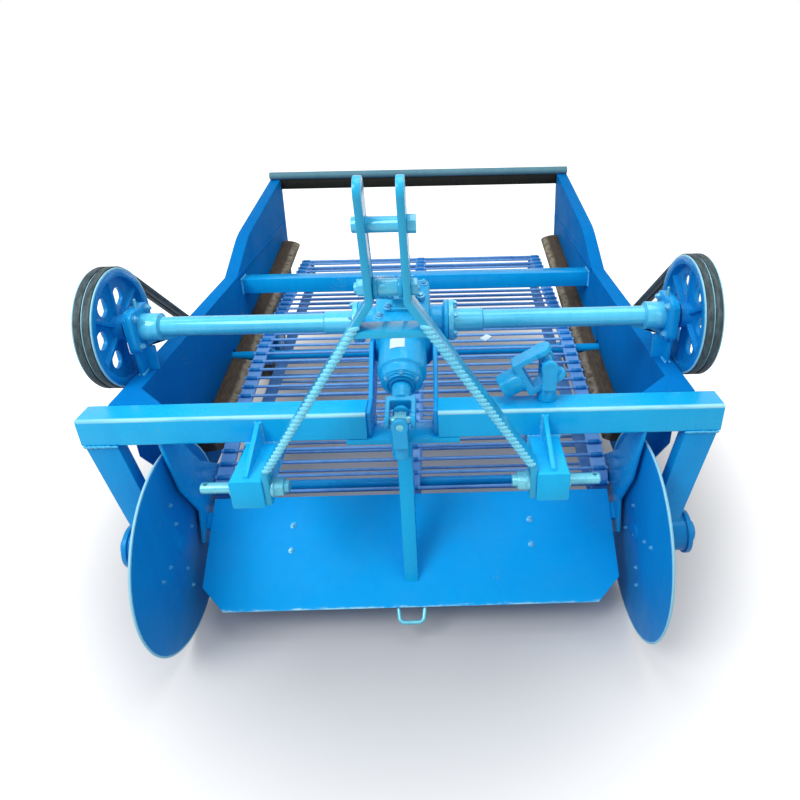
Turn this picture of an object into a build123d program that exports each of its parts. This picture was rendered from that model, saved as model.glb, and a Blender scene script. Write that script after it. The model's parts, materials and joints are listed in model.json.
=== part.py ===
# Two-row potato digger, carried on a tractor's three-point linkage.
# Millimetres. X runs to the right, Y to the rear, Z up; the tractor stands at -Y.
# While the pieces are made, Y is 0 at the front face of the cross beam and Z is 0 on the ground.
import os
from math import acos, asin, atan2, cos, degrees, hypot, pi, radians, sin, tan

from build123d import *

# ---- driving sizes ----
wall_inner = 740.0            # half of the clear width between the side walls
wall_rear = 2065.0

beam_half_length = wall_inner + 103
beam_section = 80.0
beam_corner = 6.0
beam_top = 742.0
notch_half_width = 94.0
notch_plate_thickness = 16.0
notch_plate_overlap = 56.0

wall_thickness = 8.0
flange_width = 52.0
flange_thickness = 8.0
flange_rear = 1108.0
shield_rise = 226.0
shield_shoulder = 112.0
shield_shoulder_y = wall_rear - 715
corner_gusset = 90.0

hitch_span = 825.0            # shoulder to shoulder, category 2
stub_section = 80.0
stub_front = 167.0
lower_pin_radius = 14.0
lower_shank_radius = 15.0
lower_pin_reach = 80.0
lower_pin_setback = 30.0
lower_pin_drop = 38.0
linch_hole_radius = 6.0

mast_gap = 64.0
mast_bar = 16.0
mast_depth = 60.0
mast_plane = -132.0
mast_height = 655.0           # from the lower pins to the top link pin
top_pin_radius = 16.0
top_pin_lead = 40.0
mast_knee = 1108.0
spacer_bolt_height = 1135.0
spacer_bolt_radius = 11.0
saddle_height = 1037.0

cross_y = 290.0               # drive shaft across the machine
cross_z = 877.0
cross_shaft_radius = 20.0
tube_radius = cross_shaft_radius + 8
tube_wall = 5.0
gearbox_half_width = 76.0
gearbox_tilt = 20.8
nose_reach = 238.0
input_radius = 17.5
joint_reach = 358.0
running_gap = 0.05

pulley_centre = wall_inner + 92
pulley_radius = 172.0
pulley_width = 52.0
belt_width = 19.0
belt_height = 14.0
belt_pitch = 23.5
driven_radius = 80.0
driven_y = 906.0
driven_z = 477.0

rod_radius = 5.5
rod_pitch = 50.0
rod_half_length = wall_inner - 104
web_strap_width = 50.0
web_strap_thickness = 8.0

share_half_width = wall_inner - 118
share_rear = (198.0, 321.0)
share_front = (-71.0, 119.0)
share_thickness = 12.0
share_chamfer = 70.0

disc_radius = 302.0
disc_thickness = 8.0
disc_centre_x = wall_inner - 72
disc_y = 20.0
spindle_radius = 20.0
hub_radius = 55.0

wheel_radius = 200.0
wheel_width = 84.0
wheel_y = wall_rear - 425
wheel_centre_x = wall_inner + 75
wheel_axle_radius = 15.0


# ---- small helpers ----
def slab(points, x0, x1):
    """A side view outline of (y, z) points, drawn out from x0 to x1."""
    outline = Polyline(*[(x0, y, z) for y, z in points], close=True)
    return extrude(make_face(outline), amount=x1 - x0, dir=(1, 0, 0))


def front_slab(points, y0, y1):
    """A front view outline of (x, z) points, drawn out from y0 to y1."""
    outline = Polyline(*[(x, y0, z) for x, z in points], close=True)
    return extrude(make_face(outline), amount=y1 - y0, dir=(0, 1, 0))


def block(x0, x1, y0, y1, z0, z1):
    centre = Location(((x0 + x1) / 2, (y0 + y1) / 2, (z0 + z1) / 2))
    return centre * Box(abs(x1 - x0), abs(y1 - y0), abs(z1 - z0))


def rod_x(radius, x0, x1, y, z):
    """A round bar along X."""
    return Location(((x0 + x1) / 2, y, z)) * Rotation(0, 90, 0) * Cylinder(radius, abs(x1 - x0))


def rod_y(radius, y0, y1, x, z):
    return Location((x, (y0 + y1) / 2, z)) * Rotation(90, 0, 0) * Cylinder(radius, abs(y1 - y0))


def rod_z(radius, z0, z1, x, y):
    return Location((x, y, (z0 + z1) / 2)) * Cylinder(radius, abs(z1 - z0))


def hex_x(flats, x0, x1, y, z):
    """A hexagon head or nut along X."""
    head = extrude(RegularPolygon(flats / 2, 6, major_radius=False), amount=abs(x1 - x0))
    return Location((min(x0, x1), y, z)) * Rotation(0, 90, 0) * head


def mirrored(part):
    return part.mirror(Plane.YZ)


def belt_path(rollers, offset=0.0):
    """Straight and round stretches of a belt round rollers of (y, z, radius), listed clockwise."""
    spans = []
    count = len(rollers)
    for index in range(count):
        y0, z0, r0 = rollers[index]
        y1, z1, r1 = rollers[(index + 1) % count]
        heading = atan2(z1 - z0, y1 - y0)
        normal = heading + acos((r0 - r1) / hypot(y1 - y0, z1 - z0))
        spans.append((
            (y0 + (r0 + offset) * cos(normal), z0 + (r0 + offset) * sin(normal)),
            (y1 + (r1 + offset) * cos(normal), z1 + (r1 + offset) * sin(normal)),
            normal,
        ))
    return spans


def belt_face(rollers, offset, x):
    """The area inside a belt path, in the plane at x."""
    spans = belt_path(rollers, offset)
    edges = []
    count = len(rollers)
    for index in range(count):
        start, end, normal = spans[index]
        edges.append(Line((x, *start), (x, *end)))
        y, z, radius = rollers[(index + 1) % count]
        next_start, _, next_normal = spans[(index + 1) % count]
        turn = (next_normal - normal) % (-2 * pi)
        middle = normal + turn / 2
        reach = radius + offset
        arc_middle = (x, y + reach * cos(middle), z + reach * sin(middle))
        edges.append(ThreePointArc((x, *end), arc_middle, (x, *next_start)))
    return make_face(edges)


def belt_band(rollers, inner, outer, x0, x1):
    ring = belt_face(rollers, outer, x0) - belt_face(rollers, inner, x0)
    return extrude(ring, amount=x1 - x0, dir=(1, 0, 0))


def belt_places(rollers, pitch):
    """Evenly spaced places along a belt, as (y, z) points, and the pitch that fits."""
    spans = belt_path(rollers)
    pieces = []
    count = len(rollers)
    for index in range(count):
        start, end, normal = spans[index]
        y, z, radius = rollers[(index + 1) % count]
        turn = (spans[(index + 1) % count][2] - normal) % (-2 * pi)
        pieces.append((hypot(end[0] - start[0], end[1] - start[1]), start, end, None))
        pieces.append((-turn * radius, (y, z, radius), normal, turn))
    total = sum(piece[0] for piece in pieces)
    number = round(total / pitch)
    places = []
    for step in range(number):
        travel = total * step / number
        for length, first, second, turn in pieces:
            if travel <= length:
                break
            travel -= length
        share = travel / length
        if turn is None:
            places.append(tuple(a + (b - a) * share for a, b in zip(first, second)))
        else:
            y, z, radius = first
            angle = second + turn * share
            places.append((y + radius * cos(angle), z + radius * sin(angle)))
    return places


parts = {}

# ---- front beam, in two halves with an open notch for the drive joint ----
beam_bottom = beam_top - beam_section


def beam_half():
    bar = block(notch_half_width, beam_half_length, 0, beam_section, beam_bottom, beam_top)
    return fillet(bar.edges().filter_by(Axis.X), beam_corner)


parts["front_beam_right"] = beam_half()
parts["front_beam_left"] = mirrored(parts["front_beam_right"])
plate_reach = notch_half_width + notch_plate_overlap
plate_bottom = beam_bottom - notch_plate_thickness
parts["beam_notch_plate"] = block(-plate_reach, plate_reach, 0, beam_section, plate_bottom, beam_bottom)

# ---- lower hitch brackets and pins ----
stub_outer = hitch_span / 2
stub_inner = stub_outer - stub_section
stub_bottom = beam_bottom - stub_section
lower_pin_y = -stub_front + lower_pin_setback
lower_pin_z = beam_bottom - lower_pin_drop
gusset_half = 6.0
gusset_mid = (stub_outer + stub_inner) / 2


def hitch_bracket():
    stub = block(stub_inner, stub_outer, -stub_front, beam_section, stub_bottom, beam_bottom)
    stub = fillet(stub.edges().filter_by(Axis.Y), beam_corner)
    nose = -stub_front + 12
    gusset = slab(
        [(0, beam_top - 14), (0, beam_bottom - 2), (nose, beam_bottom - 2), (nose, beam_bottom + 8)],
        gusset_mid - gusset_half,
        gusset_mid + gusset_half,
    )
    hole_radius = lower_shank_radius + running_gap
    return stub + gusset - rod_x(hole_radius, stub_inner - 1, stub_outer + 1, lower_pin_y, lower_pin_z)


def lower_pin():
    inner_end = stub_inner - mast_bar - 8 - 22 - 12
    shank = rod_x(lower_shank_radius, inner_end, stub_outer, lower_pin_y, lower_pin_z)
    collar = rod_x(22, stub_outer, stub_outer + 5, lower_pin_y, lower_pin_z)
    free_end = rod_x(lower_pin_radius, stub_outer, stub_outer + lower_pin_reach, lower_pin_y, lower_pin_z)
    free_end = chamfer(free_end.edges().sort_by(Axis.X)[-1], 3)
    washer = rod_x(26, stub_inner - mast_bar - 8, stub_inner - mast_bar, lower_pin_y, lower_pin_z)
    nut = hex_x(42, stub_inner - mast_bar - 30, stub_inner - mast_bar - 8, lower_pin_y, lower_pin_z)
    linch_x = stub_outer + lower_pin_reach - 13
    linch = rod_z(linch_hole_radius, lower_pin_z - 20, lower_pin_z + 20, linch_x, lower_pin_y)
    return shank + collar + free_end + washer + nut - linch


parts["hitch_bracket_right"] = hitch_bracket()
parts["hitch_bracket_left"] = mirrored(parts["hitch_bracket_right"])
parts["lower_hitch_pins"] = Compound([lower_pin(), mirrored(lower_pin())])

# ---- mast: two bars, upright at the top and spread to the hitch brackets below ----
top_pin_y = mast_plane - top_pin_lead
top_pin_z = lower_pin_z + mast_height
mast_top = top_pin_z + 96
bar_line = mast_gap / 2 + mast_bar / 2
foot_line = stub_inner - mast_bar / 2
foot_knee = beam_bottom + 14
foot_bottom = stub_bottom + 4
spread = atan2(foot_line - bar_line, mast_knee - foot_knee)


def mast_brace():
    half = mast_bar / 2
    shift = half * tan(spread / 2)
    front = front_slab(
        [
            (bar_line - half, mast_top),
            (bar_line + half, mast_top),
            (bar_line + half, mast_knee + shift),
            (foot_line + half, foot_knee + shift),
            (foot_line + half, foot_bottom),
            (foot_line - half, foot_bottom),
            (foot_line - half, foot_knee - shift),
            (bar_line - half, mast_knee - shift),
        ],
        mast_plane - 200,
        mast_plane + 100,
    )
    depth = mast_depth / 2
    lean = top_pin_lead / (top_pin_z - mast_knee)
    top_y = mast_plane - lean * (mast_top - depth - mast_knee)
    side = slab(
        [
            (top_y - depth, mast_top - depth),
            (top_y + depth, mast_top - depth),
            (mast_plane + depth, mast_knee),
            (mast_plane + depth, foot_bottom),
            (mast_plane - depth, foot_bottom),
            (mast_plane - depth, mast_knee),
        ],
        0,
        stub_inner + 40,
    )
    side = side + rod_x(depth, 0, stub_inner + 40, top_y, mast_top - depth)
    bar = front & side
    bar = bar - rod_x(top_pin_radius + running_gap, 0, stub_inner, top_pin_y, top_pin_z)
    bar = bar - rod_x(spacer_bolt_radius + running_gap, 0, bar_line + 20, mast_plane, spacer_bolt_height)
    hole_radius = lower_shank_radius + running_gap
    foot_hole = rod_x(hole_radius, foot_line - 20, foot_line + 20, lower_pin_y, lower_pin_z)
    return bar - foot_hole


parts["mast_brace_right"] = mast_brace()
parts["mast_brace_left"] = mirrored(parts["mast_brace_right"])

bar_outer = bar_line + mast_bar / 2
link_pin = rod_x(top_pin_radius, -bar_outer - 12, bar_outer, top_pin_y, top_pin_z)
link_head = hex_x(34, bar_outer, bar_outer + 18, top_pin_y, top_pin_z)
parts["top_link_pin"] = link_pin + link_head

stay_thickness = 9.0
stay_inner = mast_gap / 2 - stay_thickness - 1
spacer_sleeve = rod_x(19, -stay_inner, stay_inner, mast_plane, spacer_bolt_height)
spacer_shank = rod_x(spacer_bolt_radius, -bar_outer - 24, bar_outer, mast_plane, spacer_bolt_height)
spacer_head = hex_x(34, bar_outer, bar_outer + 14, mast_plane, spacer_bolt_height)
spacer_nut = hex_x(34, -bar_outer - 18, -bar_outer, mast_plane, spacer_bolt_height)
parts["mast_spacer_bolt"] = spacer_sleeve + spacer_shank + spacer_head + spacer_nut

saddle_half = 8.0


def brace_inner_at(z):
    return bar_line + (mast_knee - z) * tan(spread) - mast_bar / 2 / cos(spread)


saddle_top = saddle_height + saddle_half
saddle_low = saddle_height - saddle_half
parts["mast_saddle"] = front_slab(
    [
        (-brace_inner_at(saddle_top), saddle_top),
        (brace_inner_at(saddle_top), saddle_top),
        (brace_inner_at(saddle_low), saddle_low),
        (-brace_inner_at(saddle_low), saddle_low),
    ],
    mast_plane - mast_depth / 2,
    mast_plane + mast_depth / 2,
)

# ---- gearbox, nose down towards the notch ----
tilt = radians(gearbox_tilt)
body_top = 84.0
body_back = 92.0
body_front = 108.0
neck_radius = 45.0
neck_length = 39.0
neck_flange_radius = 60.0
neck_flange = 14.0
pad_thickness = 6.0
nose_radius = 56.0
flange_face = gearbox_half_width + neck_length + neck_flange
gearbox_place = Location((0, cross_y, cross_z)) * Rotation(gearbox_tilt, 0, 0)


def gearbox():
    body = block(-gearbox_half_width, gearbox_half_width, -body_front, body_back, -body_top, body_top)
    body = fillet(body.edges(), 16)
    snout = rod_y(nose_radius + 10, -nose_reach + 30, -body_front + 30, 0, 0)
    cover = rod_y(nose_radius, -nose_reach, -nose_reach + 32, 0, 0)
    pads = block(-gearbox_half_width - pad_thickness, gearbox_half_width + pad_thickness, -96, -36, -70, -10)
    housing = body + snout + cover + pads
    neck_reach = gearbox_half_width + neck_length
    housing = housing + rod_x(neck_radius, -neck_reach, neck_reach, 0, 0)
    for side in (-1, 1):
        housing = housing + rod_x(neck_flange_radius, side * neck_reach, side * flange_face, 0, 0)
    shaft_bore = rod_x(cross_shaft_radius + 3, -flange_face - 1, flange_face + 1, 0, 0)
    input_bore = rod_y(input_radius + running_gap, -nose_reach - 1, -60, 0, 0)
    return gearbox_place * (housing - shaft_bore - input_bore)


parts["gearbox_housing"] = gearbox()

mount_plate = 12.0
mount_inner = notch_half_width - mount_plate
pad_y = cross_y - 66 * cos(tilt) + 40 * sin(tilt)
pad_z = cross_z - 66 * sin(tilt) - 40 * cos(tilt)
mount_outline = [
    (12, beam_top - 4),
    (12, beam_bottom),
    (beam_section + 40, beam_bottom),
    (pad_y + 62, pad_z - 44),
    (pad_y + 66, pad_z - 4),
    (pad_y - 4, pad_z + 30),
    (pad_y - 40, pad_z + 38),
    (beam_section + 6, beam_top - 4),
]
mount_right = slab(mount_outline, mount_inner, notch_half_width)
parts["gearbox_mounts"] = Compound([mount_right, mirrored(mount_right)])

stay_foot_y = cross_y + 6
stay_foot_z = cross_z + body_top * cos(tilt) + 20
foot_plate = 10.0


def mast_stay():
    run = atan2(spacer_bolt_height - stay_foot_z, stay_foot_y - mast_plane)
    half = 24.0
    rise_y = half * sin(run)
    rise_z = half * cos(run)
    bar = slab(
        [
            (mast_plane + rise_y, spacer_bolt_height + rise_z),
            (mast_plane - rise_y, spacer_bolt_height - rise_z),
            (stay_foot_y - 60 - rise_y, stay_foot_z - 8),
            (stay_foot_y + 50, stay_foot_z - 8),
            (stay_foot_y + 50, stay_foot_z + 20),
        ],
        stay_inner,
        stay_inner + stay_thickness,
    )
    eye = rod_x(half, stay_inner, stay_inner + stay_thickness, mast_plane, spacer_bolt_height)
    hole = rod_x(spacer_bolt_radius + running_gap, 0, mast_gap, mast_plane, spacer_bolt_height)
    return bar + eye - hole


foot_pad = block(-46, 46, -50, 50, body_top, body_top + foot_plate)
foot_wedge_top = body_top + 34
foot_wedge = block(-stay_inner, stay_inner, -36, 36, body_top, foot_wedge_top)
stay_pair = mast_stay() + mirrored(mast_stay())
parts["mast_stay"] = stay_pair + gearbox_place * (foot_pad + foot_wedge) - parts["gearbox_housing"]

# ---- cross shaft, its tubes, and the bearings that stand on the side walls ----
bearing_half = 60.0
bearing_plate = 14.0
bracket_inner = wall_inner + 26
bracket_thickness = 12.0
bearing_inner = bracket_inner - bearing_plate


def axle_tube():
    bore = rod_x(tube_radius - tube_wall, flange_face - 1, bearing_inner + 1, cross_y, cross_z)
    tube = rod_x(tube_radius, flange_face, bearing_inner, cross_y, cross_z)
    flange = rod_x(neck_flange_radius, flange_face, flange_face + 14, cross_y, cross_z)
    collar = rod_x(tube_radius + 6, flange_face, flange_face + 96, cross_y, cross_z)
    end_collar = rod_x(tube_radius + 12, bearing_inner - 54, bearing_inner, cross_y, cross_z)
    under = cross_z - tube_radius + 3
    gusset = front_slab(
        [(bearing_inner - 110, under), (bearing_inner, under), (bearing_inner, cross_z - bearing_half)],
        cross_y - 5,
        cross_y + 5,
    )
    return tube + flange + collar + end_collar + gusset - bore


parts["axle_tube_right"] = axle_tube()
parts["axle_tube_left"] = mirrored(parts["axle_tube_right"])


def bearing_bracket():
    lower, upper = cross_z - bearing_half, cross_z + bearing_half
    front, rear = cross_y - bearing_half, cross_y + bearing_half
    square = block(bearing_inner, bracket_inner, front, rear, lower, upper)
    square = fillet(square.edges().filter_by(Axis.X), 20)
    plate = slab(
        [
            (cross_y - 40, beam_top),
            (cross_y + 40, beam_top),
            (cross_y + 40, lower - 10),
            (rear, lower + 10),
            (rear, upper - 16),
            (rear - 18, upper),
            (front + 18, upper),
            (front, upper - 16),
            (front, lower + 10),
            (cross_y - 40, lower - 10),
        ],
        bracket_inner,
        bracket_inner + bracket_thickness,
    )
    gusset = front_slab(
        [
            (bracket_inner, beam_top),
            (bracket_inner, lower),
            (bearing_inner - 18, lower),
            (wall_inner - 6, beam_top),
        ],
        cross_y - 6,
        cross_y + 6,
    )
    bracket_outer = bracket_inner + bracket_thickness
    boss = rod_x(44, bracket_outer, bracket_outer + 10, cross_y, cross_z)
    bore = rod_x(cross_shaft_radius + running_gap, bearing_inner - 1, pulley_centre, cross_y, cross_z)
    return square + plate + gusset + boss - bore


parts["bearing_bracket_right"] = bearing_bracket()
parts["bearing_bracket_left"] = mirrored(parts["bearing_bracket_right"])

pulley_outer = pulley_centre + pulley_width / 2
parts["cross_shaft"] = rod_x(cross_shaft_radius, -pulley_outer, pulley_outer, cross_y, cross_z)


belt_stand = 3.0               # how far a belt stands proud of its pulley
groove_half = belt_width / 2 + 0.6


def groove_cutter(radius, y, z):
    """One belt groove round a pulley, centred on x = 0."""
    floor = radius + belt_stand - belt_height - 1
    ring = rod_x(radius + 1, -groove_half, groove_half, y, z)
    return ring - rod_x(floor, -groove_half - 1, groove_half + 1, y, z)


def pulley(radius, y, z, shaft_radius, web_holes):
    inner, outer = pulley_centre - pulley_width / 2, pulley_centre + pulley_width / 2
    wheel = rod_x(radius, inner, outer, y, z)
    for side in (-1, 1):
        x = pulley_centre + side * belt_pitch / 2
        wheel = wheel - Location((x, 0, 0)) * groove_cutter(radius, y, z)
    rim_inside = radius - belt_height - 12
    hub = shaft_radius + 18
    if web_holes:
        for x0, x1 in ((inner - 1, pulley_centre - 6), (pulley_centre + 6, outer + 1)):
            wheel = wheel - (rod_x(rim_inside, x0, x1, y, z) - rod_x(hub, x0 - 1, x1 + 1, y, z))
        mid = (rim_inside + hub) / 2
        for index in range(web_holes):
            angle = 2 * pi * (index + 0.5) / web_holes
            hole = rod_x(26, inner, outer, y + mid * sin(angle), z + mid * cos(angle))
            wheel = wheel - hole
            rib_angle = degrees(2 * pi * index / web_holes)
            rib = block(pulley_centre - 18, pulley_centre + 18, -5, 5, hub - 2, rim_inside + 2)
            wheel = wheel + Location((0, y, z)) * Rotation(rib_angle, 0, 0) * rib
    boss = rod_x(hub, inner - 10, inner, y, z)
    return wheel + boss - rod_x(shaft_radius, inner - 20, outer + 20, y, z)


parts["drive_pulley_right"] = pulley(pulley_radius, cross_y, cross_z, cross_shaft_radius, 6)
parts["drive_pulley_left"] = mirrored(parts["drive_pulley_right"])

# ---- web: round rods on three straps, one fixed loop round its rollers ----
web_rollers = [
    # y, z, radius of the rods' centre line
    (287.0, 298.0, 60.0),
    (494.0, 394.0, 50.0),
    (driven_y, driven_z, 50.0),
    (wall_rear - 230, 492.0, 80.0),
]
strap_outer = -rod_radius + 2.5
strap_inner = strap_outer - web_strap_thickness
strap_places = (2 - rod_half_length, -web_strap_width / 2, rod_half_length - 2 - web_strap_width)
web = [belt_band(web_rollers, strap_inner, strap_outer, x, x + web_strap_width) for x in strap_places]
for y, z in belt_places(web_rollers, rod_pitch):
    web.append(rod_x(rod_radius, -rod_half_length, rod_half_length, y, z))
parts["elevator_web"] = web[0] + web[1:]

roller_shaft = 15.0
arm_inner = rod_half_length + 4
arm_thickness = 10.0
carriers = []
for index, (y, z, radius) in enumerate(web_rollers):
    if y == driven_y:
        continue
    face = radius + strap_inner - 0.3
    reach = arm_inner if index == 0 else wall_inner
    wheel_set = rod_x(roller_shaft, -reach, reach, y, z)
    for x in strap_places:
        wheel_set = wheel_set + rod_x(face, x + 6, x + web_strap_width - 6, y, z)
    carriers.append(wheel_set)
parts["web_rollers"] = Compound(carriers)

shaft_radius = 17.5
web_shaft = rod_x(shaft_radius, -pulley_outer, pulley_outer, driven_y, driven_z)
drive_wheel_radius = web_rollers[2][2] + strap_inner - 1.5
for x in strap_places:
    web_shaft = web_shaft + rod_x(drive_wheel_radius, x + 6, x + web_strap_width - 6, driven_y, driven_z)
    web_shaft = web_shaft + rod_x(26, x - 8, x + web_strap_width + 8, driven_y, driven_z)
parts["web_drive_shaft"] = web_shaft
driven = pulley(driven_radius, driven_y, driven_z, shaft_radius, 0)
parts["driven_pulleys"] = Compound([driven, mirrored(driven)])


def v_belt(x):
    loop = [
        (cross_y, cross_z, pulley_radius),
        (driven_y, driven_z, driven_radius),
    ]
    return belt_band(loop, belt_stand - belt_height, belt_stand, x - belt_width / 2, x + belt_width / 2)


parts["v_belts_right"] = Compound([v_belt(pulley_centre + lane * belt_pitch) for lane in (-0.5, 0.5)])
parts["v_belts_left"] = mirrored(parts["v_belts_right"])

# ---- side walls: plate, top flange, corner gusset and the raised rear shield ----
wall_outer = wall_inner + wall_thickness
flange_outer = wall_inner + flange_width
shield_top = beam_top + shield_rise
shield_foot = (flange_rear, beam_top)
shield_knee = (shield_shoulder_y, beam_top + shield_shoulder)
shield_end = (wall_rear, shield_top)
knee_radius = 420.0
shaft_window = 60.0
wall_outline = [
    (beam_section, beam_top),
    shield_foot,
    shield_knee,
    shield_end,
    (wall_rear - 60, 410.0),
    (wall_rear - 365, 345.0),
    (440.0, 205.0),
    (350.0, 215.0),
    (beam_section, beam_top - 170),
]


def side_face(points, x):
    return make_face(Polyline(*[(x, y, z) for y, z in points], close=True))


def rounded_at(face, point, radius):
    """Rounds the corner of a side view face that lies at the (y, z) point."""
    corners = [v for v in face.vertices() if hypot(v.Y - point[0], v.Z - point[1]) < 1]
    return fillet(corners, radius)


def side_wall():
    wall = rounded_at(side_face(wall_outline, wall_inner), shield_knee, knee_radius)
    wall = extrude(wall, amount=wall_thickness, dir=(1, 0, 0))
    wall = wall - rod_x(shaft_window / 2, wall_inner - 1, wall_outer + 1, driven_y, driven_z)
    low = beam_top - flange_thickness
    flange = block(wall_outer, flange_outer, beam_section, flange_rear, low, beam_top)
    inner_knee = (shield_knee[0] + 2, shield_knee[1] - flange_thickness)
    strip = side_face(
        [
            shield_foot,
            shield_knee,
            shield_end,
            (wall_rear, shield_top - flange_thickness),
            inner_knee,
            (flange_rear, beam_top - flange_thickness),
        ],
        wall_outer,
    )
    strip = rounded_at(strip, shield_knee, knee_radius)
    strip = rounded_at(strip, inner_knee, knee_radius - flange_thickness)
    strip = extrude(strip, amount=flange_outer - wall_outer, dir=(1, 0, 0))
    corner = Polyline(
        (wall_inner, beam_section, low),
        (wall_inner, beam_section + corner_gusset, low),
        (wall_inner - corner_gusset, beam_section, low),
        close=True,
    )
    corner = extrude(make_face(corner), amount=flange_thickness, dir=(0, 0, 1))
    return wall + flange + strip + corner


parts["side_wall_right"] = side_wall()
parts["side_wall_left"] = mirrored(parts["side_wall_right"])

crossbar_y = 1150.0
crossbar_top = beam_top - 24
crossbar_size = 64.0
crossbar_wall = 5.0
crossbar_low = crossbar_top - crossbar_size
crossbar_rear = crossbar_y + crossbar_size
parts["upper_crossbar"] = block(
    -wall_inner, wall_inner, crossbar_y, crossbar_rear, crossbar_low, crossbar_top
) - block(
    -wall_inner, wall_inner, crossbar_y + crossbar_wall, crossbar_rear - crossbar_wall,
    crossbar_low + crossbar_wall, crossbar_top - crossbar_wall,
)

tie_radius = 19.0
tie_y = wall_rear - 22
shield_slope = atan2(shield_rise - shield_shoulder, wall_rear - shield_shoulder_y)
tie_z = shield_top - (wall_rear - tie_y) * tan(shield_slope) + tie_radius / cos(shield_slope) + 0.1
parts["rear_tie_bar"] = rod_x(tie_radius, -flange_outer, flange_outer, tie_y, tie_z)
curtain_drop = 50.0
curtain_half = 4.0
parts["rear_curtain"] = block(
    1 - wall_inner, wall_inner - 1, tie_y - curtain_half, tie_y + curtain_half,
    tie_z - tie_radius - curtain_drop, tie_z - tie_radius + 1,
) - parts["rear_tie_bar"]

# ---- rubber strips along the inside of the side walls ----
strip_front = (420.0, 369.0)
strip_rear = (wall_rear - 135, 639.0)
strip_half_height = 28.0
strip_width = 86.0


def seal_strip():
    rise = atan2(strip_rear[1] - strip_front[1], strip_rear[0] - strip_front[0])
    run = hypot(strip_rear[0] - strip_front[0], strip_rear[1] - strip_front[1])
    plane = Plane(origin=(wall_inner, *strip_front), x_dir=(-1, 0, 0), z_dir=(0, cos(rise), sin(rise)))
    section = Ellipse(strip_width, strip_half_height) & Pos(strip_width / 2, 0) * Rectangle(
        strip_width, 3 * strip_half_height
    )
    strip = extrude(plane * section, amount=run)
    for y, z, _ in web_rollers:
        hole_radius = shaft_radius + 6 if y == driven_y else roller_shaft + 0.5
        strip = strip - rod_x(hole_radius, wall_inner - strip_width - 1, wall_inner + 1, y, z)
    return strip


parts["seal_strips"] = Compound([seal_strip(), mirrored(seal_strip())])

# ---- share, its carrier tube and arms, centre leg and bare loop ----
share_slope = atan2(share_rear[1] - share_front[1], share_rear[0] - share_front[0])
share_length = hypot(share_rear[0] - share_front[0], share_rear[1] - share_front[1])
share_normal = (0, -sin(share_slope), cos(share_slope))
share_plane = Plane(origin=(0, *share_front), x_dir=(1, 0, 0), z_dir=share_normal)
edge_bevel = 24.0


def share_blade():
    w, cut = share_half_width, share_chamfer
    outline = Polyline(
        (-w + cut, 0), (w - cut, 0), (w, cut), (w, share_length), (-w, share_length), (-w, cut), close=True
    )
    blade = extrude(make_face(outline), amount=-share_thickness)
    under = -share_thickness - 1
    wedge = Polyline((0, -1, under), (0, edge_bevel, under), (0, -1, -3), close=True)
    wedge = extrude(make_face(wedge), amount=w, dir=(1, 0, 0), both=True)
    return share_plane.location * (blade - wedge)


parts["share_blade"] = share_blade()

carrier_size = 50.0
carrier_back = 40.0
carrier_y = share_length - carrier_back - carrier_size / 2
parts["share_carrier"] = share_plane.location * (
    Pos(0, carrier_y, -share_thickness - carrier_size / 2) * Box(2 * arm_inner, carrier_size, carrier_size)
)

arm_outline = [
    (8, beam_bottom),
    (72, beam_bottom),
    (200, 470),
    (330, 360),
    (330, 268),
    (250, 238),
    (150, 186),
    (104, 226),
    (130, 330),
    (52, 470),
]
arm_right = slab(arm_outline, arm_inner, arm_inner + arm_thickness)
parts["share_arms"] = Compound([arm_right, mirrored(arm_right)])

leg_half = 20.0
leg_depth = 52.0
leg_front = 24.0
leg_lean = 0.08


def leg_foot(y):
    """Where a line of the leg that starts at y under the notch plate meets the share's upper face."""
    slope = tan(share_slope)
    z = (share_front[1] + (y - leg_lean * plate_bottom - share_front[0]) * slope) / (1 - leg_lean * slope)
    return y - leg_lean * (plate_bottom - z), z


parts["centre_leg"] = slab(
    [
        (leg_front, plate_bottom),
        (leg_front + leg_depth, plate_bottom),
        leg_foot(leg_front + leg_depth),
        leg_foot(leg_front),
    ],
    -leg_half,
    leg_half,
)

loop_half = 34.0
loop_bar = 6.0
loop_reach = 40.0


def share_loop():
    """A bare bar bent into a shallow loop, welded under the front edge of the share."""
    depth = -share_thickness - loop_bar
    path = FilletPolyline(
        (-loop_half - 12, 60, depth), (-loop_half, -loop_reach, depth), (loop_half, -loop_reach, depth),
        (loop_half + 12, 60, depth), radius=16,
    )
    start = Plane(origin=path @ 0, z_dir=path % 0)
    return share_plane.location * sweep(start * Circle(loop_bar), path=path)


parts["share_loop"] = share_loop()

# ---- coulters: legs with fixed hubs, and discs that roll on their spindles ----
disc_z = disc_radius
disc_outer = disc_centre_x + disc_thickness / 2
hub_inner = disc_outer + 24
hub_outer = beam_half_length - 32
leg_foot_outer = hub_outer - 36
cap_radius = 32.0
leg_plate = 40.0


def coulter_leg():
    y0, y1 = disc_y - leg_plate / 2, disc_y + leg_plate / 2
    leg = front_slab(
        [
            (beam_half_length - 92, beam_bottom),
            (beam_half_length - 8, beam_bottom),
            (leg_foot_outer, disc_z + 40),
            (leg_foot_outer, disc_z),
            (hub_inner + 10, disc_z),
            (hub_inner + 10, disc_z + 100),
        ],
        y0,
        y1,
    )
    hub = rod_x(hub_radius, hub_inner, hub_outer, disc_y, disc_z)
    ring = rod_x(hub_radius + 8, hub_outer - 14, hub_outer, disc_y, disc_z)
    cap = rod_x(cap_radius, hub_outer, hub_outer + 21, disc_y, disc_z)
    cap = fillet(cap.edges().sort_by(Axis.X)[-1], 10)
    socket = rod_x(spindle_radius + running_gap, hub_inner - 1, hub_outer - 12, disc_y, disc_z)
    nipple = rod_x(5, hub_outer + 20, hub_outer + 28, disc_y, disc_z)
    return leg + hub + ring + cap + nipple - socket


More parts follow.
